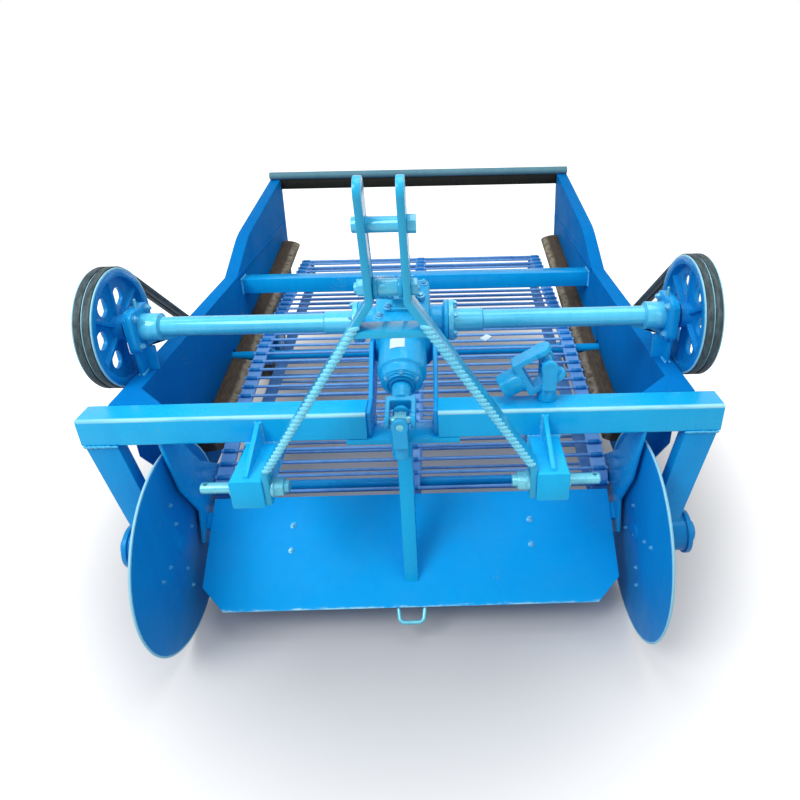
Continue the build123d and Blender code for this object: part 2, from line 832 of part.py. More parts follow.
def coulter_disc():
    plate = rod_x(disc_radius, disc_centre_x - disc_thickness / 2, disc_outer, disc_y, disc_z)
    plate = chamfer(plate.edges().sort_by(Axis.X)[-1], 6, 5)
    flange = rod_x(hub_radius + 6, disc_outer, disc_outer + 14, disc_y, disc_z)
    spindle = rod_x(spindle_radius, disc_outer, hub_outer - 20, disc_y, disc_z)
    nose = rod_x(26, disc_centre_x - disc_thickness / 2 - 6, disc_centre_x, disc_y, disc_z)
    return plate + flange + spindle + nose


parts["coulter_leg_right"] = coulter_leg()
parts["coulter_leg_left"] = mirrored(parts["coulter_leg_right"])
parts["coulter_disc_right"] = coulter_disc()
parts["coulter_disc_left"] = mirrored(parts["coulter_disc_right"])

# ---- drive input: shaft with its yoke, cross and the outer yoke that hangs down ----
ear_inner = 27.0
ear_thickness = 12.0
ear_half = 19.0
pin_radius = 10.0
yoke_reach = 60.0
yoke_barrel_radius = 26.0
yoke_barrel = 46.0
joint_place = gearbox_place * Location((0, -joint_reach, 0))


def yoke(bore_radius):
    """A yoke whose ears hold a pin along X and whose barrel points along +Y."""
    arm = block(ear_inner, ear_inner + ear_thickness, 0, yoke_reach + 2, -ear_half, ear_half)
    eye = rod_x(ear_half + 3, ear_inner, ear_inner + ear_thickness, 0, 0)
    ears = arm + eye + mirrored(arm + eye)
    ears = ears - rod_x(pin_radius + running_gap, -60, 60, 0, 0)
    ear_outer = ear_inner + ear_thickness
    bridge = block(-ear_outer, ear_outer, yoke_reach - 12, yoke_reach + 4, -ear_half, ear_half)
    barrel = rod_y(yoke_barrel_radius, yoke_reach, yoke_reach + yoke_barrel, 0, 0)
    bore = rod_y(bore_radius, yoke_reach + 6, yoke_reach + yoke_barrel + 1, 0, 0)
    return ears + bridge + barrel - bore


input_end = -nose_reach + 88
inner_yoke = joint_place * yoke(input_radius - 1)
input_bar = gearbox_place * rod_y(input_radius, -joint_reach + yoke_reach + 6, input_end, 0, 0)
parts["input_shaft"] = inner_yoke + input_bar

joint_centre = joint_place.position
cross_arm = ear_inner + ear_thickness - 1
cross = Box(30, 30, 30) + rod_x(pin_radius, -cross_arm, cross_arm, 0, 0)
cross = cross + rod_y(pin_radius, -cross_arm, cross_arm, 0, 0)
parts["joint_cross"] = Location(tuple(joint_centre)) * cross
# ears fore and aft, barrel down
hanging = Rotation(-90, 0, 0) * Rotation(0, 90, 0)
parts["outer_yoke"] = Location(tuple(joint_centre)) * hanging * yoke(input_radius)

# ---- spare joint stowed on the beam, right of the middle ----
stow_x = 383.0
stow_y = 58.0
stow_fold = 30.0
stow_scale = 1.3


def stowed_joint():
    standing = hanging * yoke(input_radius)
    folded = Rotation(0, -stow_fold, 0) * Rotation(90, 0, 0) * Rotation(0, 0, 90)
    folded = folded * scale(yoke(input_radius), by=stow_scale)
    cross = Box(30, 30, 30) + rod_y(pin_radius, -cross_arm, cross_arm, 0, 0)
    cross = cross + rod_z(pin_radius, -stow_scale * cross_arm, stow_scale * cross_arm, 0, 0)
    cross = Rotation(0, -stow_fold, 0) * cross
    place = Location((stow_x, stow_y, beam_top + yoke_reach + yoke_barrel))
    return place * Compound([standing, folded, cross])


parts["stowed_joint"] = stowed_joint()

# ---- bearings of the web shaft, outside the walls ----


def web_bearing():
    plate = rod_x(52, wall_outer, wall_outer + 12, driven_y, driven_z)
    boss = rod_x(34, wall_outer + 12, wall_outer + 34, driven_y, driven_z)
    return plate + boss - rod_x(shaft_radius + running_gap, wall_inner, wall_outer + 60, driven_y, driven_z)


parts["web_bearings"] = Compound([web_bearing(), mirrored(web_bearing())])

# ---- rear support wheels on brackets outside the walls ----
wheel_inner = wheel_centre_x - wheel_width / 2
bracket_plate = 12.0


def wheel_bracket():
    plate = slab(
        [
            (wheel_y - 110, 470), (wheel_y + 110, 470), (wheel_y + 46, wheel_radius - 30),
            (wheel_y - 46, wheel_radius - 30),
        ],
        wall_outer,
        wall_outer + bracket_plate,
    )
    axle_end = wheel_centre_x + wheel_width / 2 - 4
    axle = rod_x(wheel_axle_radius, wall_outer + bracket_plate, axle_end, wheel_y, wheel_radius)
    shoulder = rod_x(24, wall_outer + bracket_plate, wheel_inner + 12, wheel_y, wheel_radius)
    nut = hex_x(30, axle_end - 14, axle_end, wheel_y, wheel_radius)
    return plate + axle + shoulder + nut


rim_radius = 120.0
rim_half = 36.0
hub_half = 22.0


def wheel_rim():
    rim = rod_x(rim_radius, wheel_centre_x - rim_half, wheel_centre_x + rim_half, wheel_y, wheel_radius)
    for x0, x1 in ((-rim_half - 1, -4), (4, rim_half + 1)):
        rim = rim - rod_x(rim_radius - 8, wheel_centre_x + x0, wheel_centre_x + x1, wheel_y, wheel_radius)
    hub = rod_x(34, wheel_centre_x - hub_half, wheel_centre_x + hub_half, wheel_y, wheel_radius)
    bore_radius = wheel_axle_radius + running_gap
    return rim + hub - rod_x(bore_radius, wheel_inner, wheel_inner + wheel_width, wheel_y, wheel_radius)


def wheel_tyre():
    half = wheel_width / 2
    bulge = rim_radius + 26
    shoulder = wheel_radius - 16
    section = Polyline(
        (-rim_half, rim_radius),
        (-half, bulge),
        (-half, shoulder),
        (-half + 16, wheel_radius),
        (half - 16, wheel_radius),
        (half, shoulder),
        (half, bulge),
        (rim_half, rim_radius),
        close=True,
    )
    ring = revolve(make_face(section), Axis.X)
    return Location((wheel_centre_x, wheel_y, wheel_radius)) * ring


parts["wheel_brackets"] = Compound([wheel_bracket(), mirrored(wheel_bracket())])
parts["wheel_rim_right"] = wheel_rim()
parts["wheel_rim_left"] = mirrored(parts["wheel_rim_right"])
parts["wheel_tyre_right"] = wheel_tyre()
parts["wheel_tyre_left"] = mirrored(parts["wheel_tyre_right"])

# ---- the origin is the middle of the object's box, at ground level ----
boxes = [part.bounding_box() for part in parts.values()]
middle_y = (min(box.min.Y for box in boxes) + max(box.max.Y for box in boxes)) / 2
print("middle y", round(middle_y, 3))

os.makedirs("parts", exist_ok=True)
for name, part in parts.items():
    export_step(Location((0, -middle_y, 0)) * part, f"parts/{name}.step")
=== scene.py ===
import json
import math
import random
import bpy
from mathutils import Matrix, Vector


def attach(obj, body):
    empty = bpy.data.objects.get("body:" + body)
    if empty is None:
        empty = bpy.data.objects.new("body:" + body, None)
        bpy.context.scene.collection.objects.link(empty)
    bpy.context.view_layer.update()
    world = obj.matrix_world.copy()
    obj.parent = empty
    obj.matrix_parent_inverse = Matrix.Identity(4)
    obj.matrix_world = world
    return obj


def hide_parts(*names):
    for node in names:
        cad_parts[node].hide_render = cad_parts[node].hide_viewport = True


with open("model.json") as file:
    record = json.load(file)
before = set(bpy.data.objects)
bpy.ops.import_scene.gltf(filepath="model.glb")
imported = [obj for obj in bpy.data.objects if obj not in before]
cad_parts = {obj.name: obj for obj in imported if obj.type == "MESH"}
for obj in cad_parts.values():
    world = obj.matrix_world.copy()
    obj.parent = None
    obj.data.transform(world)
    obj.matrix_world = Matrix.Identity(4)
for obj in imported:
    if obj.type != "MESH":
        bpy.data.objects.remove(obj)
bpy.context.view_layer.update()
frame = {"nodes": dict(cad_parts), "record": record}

scene = bpy.context.scene
nodes = frame["nodes"]
bodyOf = {name: body for body, names in frame["record"]["behaviour"]["bodies"].items() for name in names}
random.seed(7)
bpy.context.tool_settings.mesh_select_mode = (False, False, True)


def at(x, y, z):
    # millimetres from the beam's front face and the ground, to the scene's metres
    return Vector((x / 1000, y / 1000 - 0.8915, z / 1000))


def clearSelection():
    if bpy.context.object and bpy.context.object.mode != "OBJECT":
        bpy.ops.object.mode_set(mode="OBJECT")
    bpy.ops.object.select_all(action="DESELECT")


def pick(obj):
    clearSelection()
    obj.select_set(True)
    bpy.context.view_layer.objects.active = obj


def added(name):
    # the primitive just made: its place goes into its mesh, and it waits in edit mode
    obj = bpy.context.object
    obj.name = name
    bpy.ops.object.transform_apply(location=True, rotation=True, scale=True)
    bpy.ops.object.mode_set(mode="EDIT")
    bpy.ops.mesh.select_all(action="DESELECT")
    return obj


def pickFaces(obj, test):
    bpy.ops.mesh.select_all(action="DESELECT")
    bpy.ops.object.mode_set(mode="OBJECT")
    for face in obj.data.polygons:
        face.select = bool(test(face.center, face.normal))
    bpy.ops.object.mode_set(mode="EDIT")


def useModifier(obj, kind, **values):
    pick(obj)
    modifier = obj.modifiers.new(kind.lower(), kind)
    for key, value in values.items():
        setattr(modifier, key, value)
    bpy.ops.object.modifier_apply(modifier=modifier.name)


def smoothBy(obj, degrees):
    pick(obj)
    bpy.ops.object.shade_smooth_by_angle(angle=math.radians(degrees))


def roundEdges(obj, width, segments=2, degrees=32):
    useModifier(obj, "BEVEL", width=width, segments=segments, limit_method="ANGLE",
                angle_limit=math.radians(degrees), use_clamp_overlap=False)
    smoothBy(obj, 38)


def settle(obj, body, material):
    obj.data.materials.clear()
    obj.data.materials.append(material)
    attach(obj, body)
    return obj


def mergedCopy(nodeName):
    # an editable copy of a CAD node, its loose triangles joined up again
    source = nodes[nodeName]
    words = nodeName.split("_")
    mesh = source.data.copy()
    mesh.transform(source.matrix_world)
    obj = bpy.data.objects.new(words[0] + "".join(word.capitalize() for word in words[1:]), mesh)
    scene.collection.objects.link(obj)
    pick(obj)
    bpy.ops.mesh.customdata_custom_splitnormals_clear()
    bpy.ops.object.mode_set(mode="EDIT")
    bpy.ops.mesh.select_all(action="SELECT")
    bpy.ops.mesh.remove_doubles(threshold=0.00002)
    bpy.ops.mesh.dissolve_limited(angle_limit=math.radians(0.4))
    bpy.ops.object.mode_set(mode="OBJECT")
    return obj


def standIn(obj, nodeName, material):
    settle(obj, bodyOf[nodeName], material)
    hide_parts(nodeName)


def turnedTo(direction):
    # the turn that lays a shape's own Z axis along a direction
    return Vector(direction).to_track_quat("Z", "Y").to_matrix().to_4x4()


def scatter(model, name, places):
    # a copy of the model with its own mesh at each (spot, direction, size), joined as one piece
    copies = []
    for spot, direction, size in places:
        mesh = model.data.copy()
        spin = Matrix.Rotation(random.uniform(0, 1.05), 4, "Z")
        mesh.transform(Matrix.Translation(spot) @ turnedTo(direction) @ spin @ Matrix.Scale(size, 4))
        copy = bpy.data.objects.new(name, mesh)
        scene.collection.objects.link(copy)
        copies.append(copy)
    clearSelection()
    for copy in copies:
        copy.select_set(True)
    bpy.context.view_layer.objects.active = copies[0]
    if len(copies) > 1:
        bpy.ops.object.join()
    return copies[0]


# ---- node groups shared by the materials ----
def newGroup(name, inputs, outputs):
    group = bpy.data.node_groups.new(name, "ShaderNodeTree")
    for label, kind, value in inputs:
        socket = group.interface.new_socket(label, in_out="INPUT", socket_type=kind)
        if value is not None:
            socket.default_value = value
    for label, kind in outputs:
        group.interface.new_socket(label, in_out="OUTPUT", socket_type=kind)
    return group, group.nodes.new("NodeGroupInput"), group.nodes.new("NodeGroupOutput")


def noiseNode(tree, vector, scale, detail=3.0, rough=0.55, distort=0.0):
    node = tree.nodes.new("ShaderNodeTexNoise")
    node.inputs["Scale"].default_value = scale
    node.inputs["Detail"].default_value = detail
    node.inputs["Roughness"].default_value = rough
    node.inputs["Distortion"].default_value = distort
    tree.links.new(vector, node.inputs["Vector"])
    return node.outputs["Fac"]


def rangeNode(tree, value, low, high, outLow=0.0, outHigh=1.0):
    node = tree.nodes.new("ShaderNodeMapRange")
    node.interpolation_type = "SMOOTHSTEP"
    for label, number in (("From Min", low), ("From Max", high), ("To Min", outLow), ("To Max", outHigh)):
        node.inputs[label].default_value = number
    tree.links.new(value, node.inputs["Value"])
    return node.outputs["Result"]


def mathNode(tree, kind, first, second=None):
    node = tree.nodes.new("ShaderNodeMath")
    node.operation = kind
    for index, value in enumerate((first, second)):
        if value is None:
            continue
        if isinstance(value, (int, float)):
            node.inputs[index].default_value = value
        else:
            tree.links.new(value, node.inputs[index])
    return node.outputs["Value"]


def mixNode(tree, factor, first, second, blend="MIX"):
    node = tree.nodes.new("ShaderNodeMix")
    node.data_type = "RGBA"
    node.blend_type = blend
    for index, value in ((0, factor), (6, first), (7, second)):
        if isinstance(value, (int, float, tuple)):
            node.inputs[index].default_value = value
        else:
            tree.links.new(value, node.inputs[index])
    return node.outputs[2]


def stretched(tree, vector, scale, place=(0, 0, 0)):
    node = tree.nodes.new("ShaderNodeMapping")
    node.inputs["Location"].default_value = place
    node.inputs["Scale"].default_value = scale
    tree.links.new(vector, node.inputs["Vector"])
    return node.outputs["Vector"]


def objectPlace(tree):
    return tree.nodes.new("ShaderNodeTexCoord").outputs["Object"]


def bumpNode(tree, height, strength, distance=0.002):
    node = tree.nodes.new("ShaderNodeBump")
    node.inputs["Distance"].default_value = distance
    if isinstance(strength, (int, float)):
        node.inputs["Strength"].default_value = strength
    else:
        tree.links.new(strength, node.inputs["Strength"])
    tree.links.new(height, node.inputs["Height"])
    return node.outputs["Normal"]


# enamel: slow tone changes, runs down the sides, fine orange peel, specks and a few small chips to primer
enamel, enamelIn, enamelOut = newGroup(
    "enamelCoat",
    [("Paint", "NodeSocketColor", None), ("Shade", "NodeSocketColor", None),
     ("Primer", "NodeSocketColor", None),
     ("Chips", "NodeSocketFloat", 0.0), ("Peel", "NodeSocketFloat", 0.05)],
    [("Colour", "NodeSocketColor"), ("Roughness", "NodeSocketFloat"), ("Normal", "NodeSocketVector")],
)
place = objectPlace(enamel)
slowTone = rangeNode(enamel, noiseNode(enamel, place, 3.1, 4.0), 0.3, 0.75)
runs = rangeNode(enamel, noiseNode(enamel, stretched(enamel, place, (22.0, 22.0, 2.2)), 1.6, 4.0), 0.42,
                 0.78, 0.0, 0.3)
tone = mathNode(enamel, "MINIMUM",
                mathNode(enamel, "ADD", mathNode(enamel, "MULTIPLY", slowTone, 0.45), runs), 1.0)
painted = mixNode(enamel, tone, enamelIn.outputs["Paint"], enamelIn.outputs["Shade"])
speckNoise = rangeNode(enamel, noiseNode(enamel, place, 320.0, 2.0, 0.6), 0.66, 0.72, 0.0, 0.22)
speckled = mixNode(enamel, speckNoise, painted, (0.05, 0.45, 0.85, 1))
chipNoise = noiseNode(enamel, place, 120.0, 5.0, 0.7)
chipPatch = rangeNode(enamel, noiseNode(enamel, place, 6.5, 2.0), 0.5, 0.72)
chipLevel = mathNode(enamel, "MULTIPLY", mathNode(enamel, "MULTIPLY", chipNoise, chipPatch),
                     enamelIn.outputs["Chips"])
chipMask = rangeNode(enamel, chipLevel, 0.585, 0.61)
enamel.links.new(mixNode(enamel, chipMask, speckled, enamelIn.outputs["Primer"]),
                 enamelOut.inputs["Colour"])
gloss = rangeNode(enamel, noiseNode(enamel, place, 9.0, 5.0, 0.65), 0.3, 0.8, 0.2, 0.38)
enamel.links.new(mathNode(enamel, "ADD", gloss, mathNode(enamel, "MULTIPLY", chipMask, 0.35)),
                 enamelOut.inputs["Roughness"])
peelFine = noiseNode(enamel, place, 260.0, 2.0)
peelBroad = mathNode(enamel, "MULTIPLY", noiseNode(enamel, place, 22.0, 3.0), 1.8)
peelHeight = mathNode(enamel, "SUBTRACT", mathNode(enamel, "ADD", peelFine, peelBroad),
                      mathNode(enamel, "MULTIPLY", chipMask, 0.4))
enamel.links.new(bumpNode(enamel, peelHeight, enamelIn.outputs["Peel"]), enamelOut.inputs["Normal"])

# dust that lies on faces that look up
dust, dustIn, dustOut = newGroup(
    "settledDust",
    [("Colour", "NodeSocketColor", None), ("Dust", "NodeSocketColor", None),
     ("Amount", "NodeSocketFloat", 0.2)],
    [("Colour", "NodeSocketColor"), ("Mask", "NodeSocketFloat")],
)
split = dust.nodes.new("ShaderNodeSeparateXYZ")
dust.links.new(dust.nodes.new("ShaderNodeNewGeometry").outputs["Normal"], split.inputs["Vector"])
upward = rangeNode(dust, split.outputs["Z"], 0.1, 0.95)
patches = rangeNode(dust, noiseNode(dust, objectPlace(dust), 7.0, 6.0, 0.68), 0.35, 0.8)
dustMask = mathNode(dust, "MULTIPLY", mathNode(dust, "MULTIPLY", upward, patches), dustIn.outputs["Amount"])
dust.links.new(mixNode(dust, dustMask, dustIn.outputs["Colour"], dustIn.outputs["Dust"]),
               dustOut.inputs["Colour"])
dust.links.new(dustMask, dustOut.inputs["Mask"])

# rubber: mottled, scuffed grey along worn places, with a fine grain
rubber, rubberIn, rubberOut = newGroup(
    "oldRubber",
    [("Fresh", "NodeSocketColor", None), ("Worn", "NodeSocketColor", None),
     ("Wear", "NodeSocketFloat", 0.5),
     ("Grain", "NodeSocketFloat", 300.0)],
    [("Colour", "NodeSocketColor"), ("Roughness", "NodeSocketFloat"), ("Normal", "NodeSocketVector")],
)
place = objectPlace(rubber)
scuffs = rangeNode(rubber, noiseNode(rubber, stretched(rubber, place, (30.0, 9.0, 9.0)), 3.0, 6.0, 0.7),
                   0.38, 0.72)
scuffMask = mathNode(rubber, "MULTIPLY", scuffs, rubberIn.outputs["Wear"])
rubber.links.new(mixNode(rubber, scuffMask, rubberIn.outputs["Fresh"], rubberIn.outputs["Worn"]),
                 rubberOut.inputs["Colour"])
rubber.links.new(rangeNode(rubber, scuffMask, 0.0, 1.0, 0.55, 0.86), rubberOut.inputs["Roughness"])
grainNode = rubber.nodes.new("ShaderNodeTexNoise")
grainNode.inputs["Detail"].default_value = 3.0
rubber.links.new(rubberIn.outputs["Grain"], grainNode.inputs["Scale"])
rubber.links.new(place, grainNode.inputs["Vector"])
rubber.links.new(bumpNode(rubber, grainNode.outputs["Fac"], 0.35, 0.001), rubberOut.inputs["Normal"])

# bare metal: drawn lines, tarnish clouds and pinprick rust
metal, metalIn, metalOut = newGroup(
    "bareMetal",
    [("Bright", "NodeSocketColor", None), ("Tarnish", "NodeSocketColor", None),
     ("Rust", "NodeSocketFloat", 0.1),
     ("Lines", "NodeSocketFloat", 0.1)],
    [("Colour", "NodeSocketColor"), ("Roughness", "NodeSocketFloat"), ("Normal", "NodeSocketVector")],
)
place = objectPlace(metal)
clouds = rangeNode(metal, noiseNode(metal, place, 26.0, 5.0, 0.65), 0.35, 0.75)
tarnished = mixNode(metal, clouds, metalIn.outputs["Bright"], metalIn.outputs["Tarnish"])
rustNoise = rangeNode(metal, noiseNode(metal, place, 85.0, 6.0, 0.75), 0.56, 0.68)
rustMask = mathNode(metal, "MULTIPLY", rustNoise, metalIn.outputs["Rust"])
metal.links.new(mixNode(metal, rustMask, tarnished, (0.16, 0.07, 0.03, 1)), metalOut.inputs["Colour"])
metal.links.new(mathNode(metal, "ADD", rangeNode(metal, clouds, 0.0, 1.0, 0.24, 0.42),
                         mathNode(metal, "MULTIPLY", rustMask, 0.4)),
                metalOut.inputs["Roughness"])
lineNoise = noiseNode(metal, stretched(metal, place, (12.0, 300.0, 300.0)), 2.0, 3.0)
metal.links.new(bumpNode(metal, lineNoise, metalIn.outputs["Lines"], 0.001), metalOut.inputs["Normal"])


def newMaterial(name):
    material = bpy.data.materials.new(name)
    material.use_nodes = True
    tree = material.node_tree
    return material, tree, tree.nodes["Principled BSDF"]


def useGroup(tree, group, values):
    node = tree.nodes.new("ShaderNodeGroup")
    node.node_tree = group
    for label, value in values.items():
        if isinstance(value, (int, float, tuple)):
            node.inputs[label].default_value = value
        else:
            tree.links.new(value, node.inputs[label])
    return node


dustColour = (0.14, 0.36, 0.50, 1)
primerGrey = (0.20, 0.30, 0.36, 1)


def enamelMaterial(name, paint, shade, peel=0.1, chips=1.0, coat=0.1, dusty=0.08, wear=None, shine=0.3,
                   dull=0.0):
    # wear is a function that takes the tree and gives a mask of where the paint is made pale: rubbed wear on
    # the share, a painted highlight on the beam's corner, a pale line on the rims
    material, tree, shader = newMaterial(name)
    coating = useGroup(tree, enamel,
                       {"Paint": paint, "Shade": shade, "Primer": primerGrey, "Chips": chips, "Peel": peel})
    film = useGroup(tree, dust, {"Colour": coating.outputs["Colour"], "Dust": dustColour, "Amount": dusty})
    colour = film.outputs["Colour"]
    rough = mathNode(tree, "ADD", coating.outputs["Roughness"],
                     mathNode(tree, "MULTIPLY", film.outputs["Mask"], 0.35))
    rough = mathNode(tree, "ADD", rough, dull)
    if wear:
        worn = wear(tree)
        # the pale mix is rubbed wear on the share, a painted highlight on the beam's corner and a pale line
        # on the rims
        colour = mixNode(tree, worn, colour, (0.40, 0.78, 0.86, 1))
        rough = mathNode(tree, "ADD", rough, mathNode(tree, "MULTIPLY", worn, 0.1))
    tree.links.new(colour, shader.inputs["Base Color"])
    tree.links.new(rough, shader.inputs["Roughness"])
    tree.links.new(coating.outputs["Normal"], shader.inputs["Normal"])
    shader.inputs["Specular IOR Level"].default_value = shine
    shader.inputs["Specular Tint"].default_value = (0.25, 0.78, 1.0, 1)
    shader.inputs["Coat Weight"].default_value = coat
    shader.inputs["Coat Roughness"].default_value = 0.12
    return material


def metalMaterial(name, bright, tarnish, rust=0.1, lines=0.1, metallic=0.85):
    material, tree, shader = newMaterial(name)
    skin = useGroup(tree, metal, {"Bright": bright, "Tarnish": tarnish, "Rust": rust, "Lines": lines})
    for source, target in (("Colour", "Base Color"), ("Roughness", "Roughness"), ("Normal", "Normal")):
        tree.links.new(skin.outputs[source], shader.inputs[target])
    shader.inputs["Metallic"].default_value = metallic
    return material


def rubberMaterial(name, fresh, worn, wear, grain=300.0, stripe=None):
    material, tree, shader = newMaterial(name)
    skin = useGroup(tree, rubber, {"Fresh": fresh, "Worn": worn, "Wear": wear, "Grain": grain})
    colour = skin.outputs["Colour"]
    if stripe:
        # the stripe mixes in a pale band: a painted highlight on the sealing strips
        colour = mixNode(tree, stripe(tree), colour, (0.30, 0.27, 0.20, 1))
    tree.links.new(colour, shader.inputs["Base Color"])
    tree.links.new(skin.outputs["Roughness"], shader.inputs["Roughness"])
    tree.links.new(skin.outputs["Normal"], shader.inputs["Normal"])
    shader.inputs["Specular IOR Level"].default_value = 0.2
    return material


def shareWear(tree):
    # rubbed pale in a thin ragged band along the share's front edge
    parted = tree.nodes.new("ShaderNodeSeparateXYZ")
    place = objectPlace(tree)
    tree.links.new(place, parted.inputs["Vector"])
    ragged = mathNode(tree, "MULTIPLY",
                      noiseNode(tree, stretched(tree, place, (14.0, 60.0, 60.0)), 1.6, 6.0, 0.7), 0.030)
    along = mathNode(tree, "SUBTRACT", parted.outputs["Y"], ragged)
    return rangeNode(tree, along, -0.980, -0.972, 0.8, 0.0)


def rimPaleLine(centre, radius):
    # a thin pale line at the rim's corner, at that radius from an axle through centre
    def mask(tree):
        place = objectPlace(tree)
        flat = stretched(tree, place, (0.0, 1.0, 1.0), (0, -centre[1], -centre[2]))
        length = tree.nodes.new("ShaderNodeVectorMath")
        length.operation = "LENGTH"
        tree.links.new(flat, length.inputs[0])
        jitter = mathNode(tree, "MULTIPLY", noiseNode(tree, place, 90.0, 4.0), 0.004)
        return rangeNode(tree, mathNode(tree, "ADD", length.outputs["Value"], jitter), radius - 0.003,
                         radius, 0.0, 0.75)
    return mask


def beamEdgeHighlight(tree):
    # painted highlight: the beam's front upper corner is painted as a pale line
    parted = tree.nodes.new("ShaderNodeSeparateXYZ")
    place = objectPlace(tree)
    tree.links.new(place, parted.inputs["Vector"])
    upper = rangeNode(tree, parted.outputs["Z"], 0.7325, 0.7360, 0.0, 0.85)
    front = rangeNode(tree, parted.outputs["Y"], -0.8850, -0.8810, 1.0, 0.0)
    patchy = rangeNode(tree, noiseNode(tree, stretched(tree, place, (6.0, 40.0, 40.0)), 1.0, 4.0), 0.25,
                       0.6, 0.35, 1.0)
    return mathNode(tree, "MULTIPLY", mathNode(tree, "MULTIPLY", upper, front), patchy)


def stripCrownHighlight(tree):
    # painted highlight: a pale band along the crown of the sealing strips
    parted = tree.nodes.new("ShaderNodeSeparateXYZ")
    place = objectPlace(tree)
    tree.links.new(place, parted.inputs["Vector"])
    side = mathNode(tree, "ABSOLUTE", parted.outputs["X"])
    wander = mathNode(tree, "MULTIPLY", noiseNode(tree, place, 9.0, 4.0), 0.03)
    offset = mathNode(tree, "ABSOLUTE",
                      mathNode(tree, "SUBTRACT", mathNode(tree, "ADD", side, wander), 0.684))
    crown = rangeNode(tree, offset, 0.004, 0.022, 0.9, 0.0)
    return mathNode(tree, "MULTIPLY", crown,
                    rangeNode(tree, noiseNode(tree, place, 40.0, 5.0, 0.7), 0.3, 0.6))


print("materials")
framePaint = enamelMaterial("frameEnamel", (0.003, 0.35, 0.78, 1), (0.001, 0.26, 0.67, 1))
# painted light: a lighter blue than the frame paint for the beam, hitch brackets and centre leg
litFrontPaint = enamelMaterial("beamLitEnamel", (0.006, 0.46, 0.86, 1), (0.003, 0.36, 0.76, 1), peel=0.08,
                             wear=beamEdgeHighlight)
legPaint = enamelMaterial("legEnamel", (0.004, 0.28, 0.66, 1), (0.002, 0.20, 0.55, 1), peel=0.08)
tealPaint = enamelMaterial("mastEnamel", (0.02, 0.43, 0.72, 1), (0.01, 0.33, 0.62, 1), peel=0.14, coat=0.3)
# painted highlight: a lighter blue than the frame paint stands in for the tubes' highlights; the coat gives
# real gloss
litTubePaint = enamelMaterial("tubeLitEnamel", (0.08, 0.56, 0.82, 1), (0.03, 0.42, 0.72, 1), peel=0.06,
                           coat=0.7, shine=0.6)
barPaint = enamelMaterial("tieBarEnamel", (0.12, 0.26, 0.32, 1), (0.07, 0.17, 0.23, 1), peel=0.1,
                          coat=0.0, shine=0.15, dull=0.2)
# painted shade: the walls get a darker blue than the frame paint, standing in for the shade on their inner
# faces
shadedWallPaint = enamelMaterial("wallShadedEnamel", (0.001, 0.19, 0.56, 1), (0.001, 0.14, 0.47, 1), peel=0.08,
                           coat=0.0, dusty=0.02,
                           shine=0.05, dull=0.4)
castPaint = enamelMaterial("castEnamel", (0.008, 0.42, 0.80, 1), (0.003, 0.28, 0.66, 1), peel=0.4,
                           coat=0.35)
sharePaint = enamelMaterial("shareEnamel", (0.002, 0.35, 0.82, 1), (0.001, 0.30, 0.76, 1), peel=0.05,
                            coat=0.0, wear=shareWear,
                            shine=0.15, dull=0.2)
# painted shade: the discs get a darker blue than the frame paint
shadedDiscPaint = enamelMaterial("discShadedEnamel", (0.002, 0.23, 0.62, 1), (0.001, 0.17, 0.52, 1), peel=0.05,
                           coat=0.0, shine=0.15, dull=0.25,
                           wear=rimPaleLine(at(0, 20, 302), 0.300))
# painted shade: the drive pulleys get a darker blue than the frame paint
shadedPulleyPaint = enamelMaterial("pulleyShadedEnamel", (0.004, 0.26, 0.66, 1), (0.002, 0.18, 0.54, 1), peel=0.2,
                             wear=rimPaleLine(at(0, 290, 877), 0.171))
# painted shade: the driven pulleys get a still darker blue
shadedDrivenPaint = enamelMaterial("drivenShadedEnamel", (0.004, 0.22, 0.62, 1), (0.002, 0.16, 0.52, 1), peel=0.2,
                             wear=rimPaleLine(at(0, 906, 477), 0.079))
webPaint = enamelMaterial("webEnamel", (0.15, 0.37, 0.76, 1), (0.03, 0.16, 0.52, 1), peel=0.1, coat=0.3)
strapPaint = enamelMaterial("clipEnamel", (0.01, 0.20, 0.56, 1), (0.006, 0.14, 0.46, 1), peel=0.3)
weldPaint = enamelMaterial("weldEnamel", (0.08, 0.52, 0.82, 1), (0.02, 0.34, 0.70, 1), peel=0.3, chips=0.0)
# painted highlight: a paler blue than the weld paint stands in for the bead's highlights
litBeadPaint = enamelMaterial("braceBeadLitEnamel", (0.22, 0.72, 0.92, 1), (0.05, 0.44, 0.74, 1), peel=0.3,
                           chips=0.0, coat=0.5)
pinSteel = metalMaterial("pinSteel", (0.16, 0.56, 0.68, 1), (0.08, 0.40, 0.56, 1), rust=0.12, metallic=0.3)
boltSteel = metalMaterial("boltSteel", (0.14, 0.50, 0.74, 1), (0.03, 0.30, 0.60, 1), rust=0.08,
                          metallic=0.3)
beltRubber = rubberMaterial("beltRubber", (0.030, 0.045, 0.050, 1), (0.11, 0.16, 0.18, 1), 0.8, 500.0)
tyreRubber = rubberMaterial("tyreRubber", (0.020, 0.020, 0.021, 1), (0.10, 0.095, 0.085, 1), 0.6, 220.0)
stripRubber = rubberMaterial("stripRubber", (0.045, 0.033, 0.022, 1), (0.12, 0.09, 0.06, 1), 0.7, 160.0,
                             stripCrownHighlight)
curtainRubber = rubberMaterial("curtainRubber", (0.006, 0.007, 0.005, 1), (0.022, 0.021, 0.015, 1), 0.6,
                               160.0)
plateWhite = enamelMaterial("blankPlate", (0.66, 0.80, 0.86, 1), (0.50, 0.70, 0.80, 1), peel=0.06,
                            chips=0.4)

# ---- camera ----
cameraLook = {"place": (0.11529, -2.26381, 1.58566), "down": 26.93, "turn": 0.69, "roll": -1.07,
              "lens": 27.95, "shiftX": -0.0644, "shiftY": -0.0481}


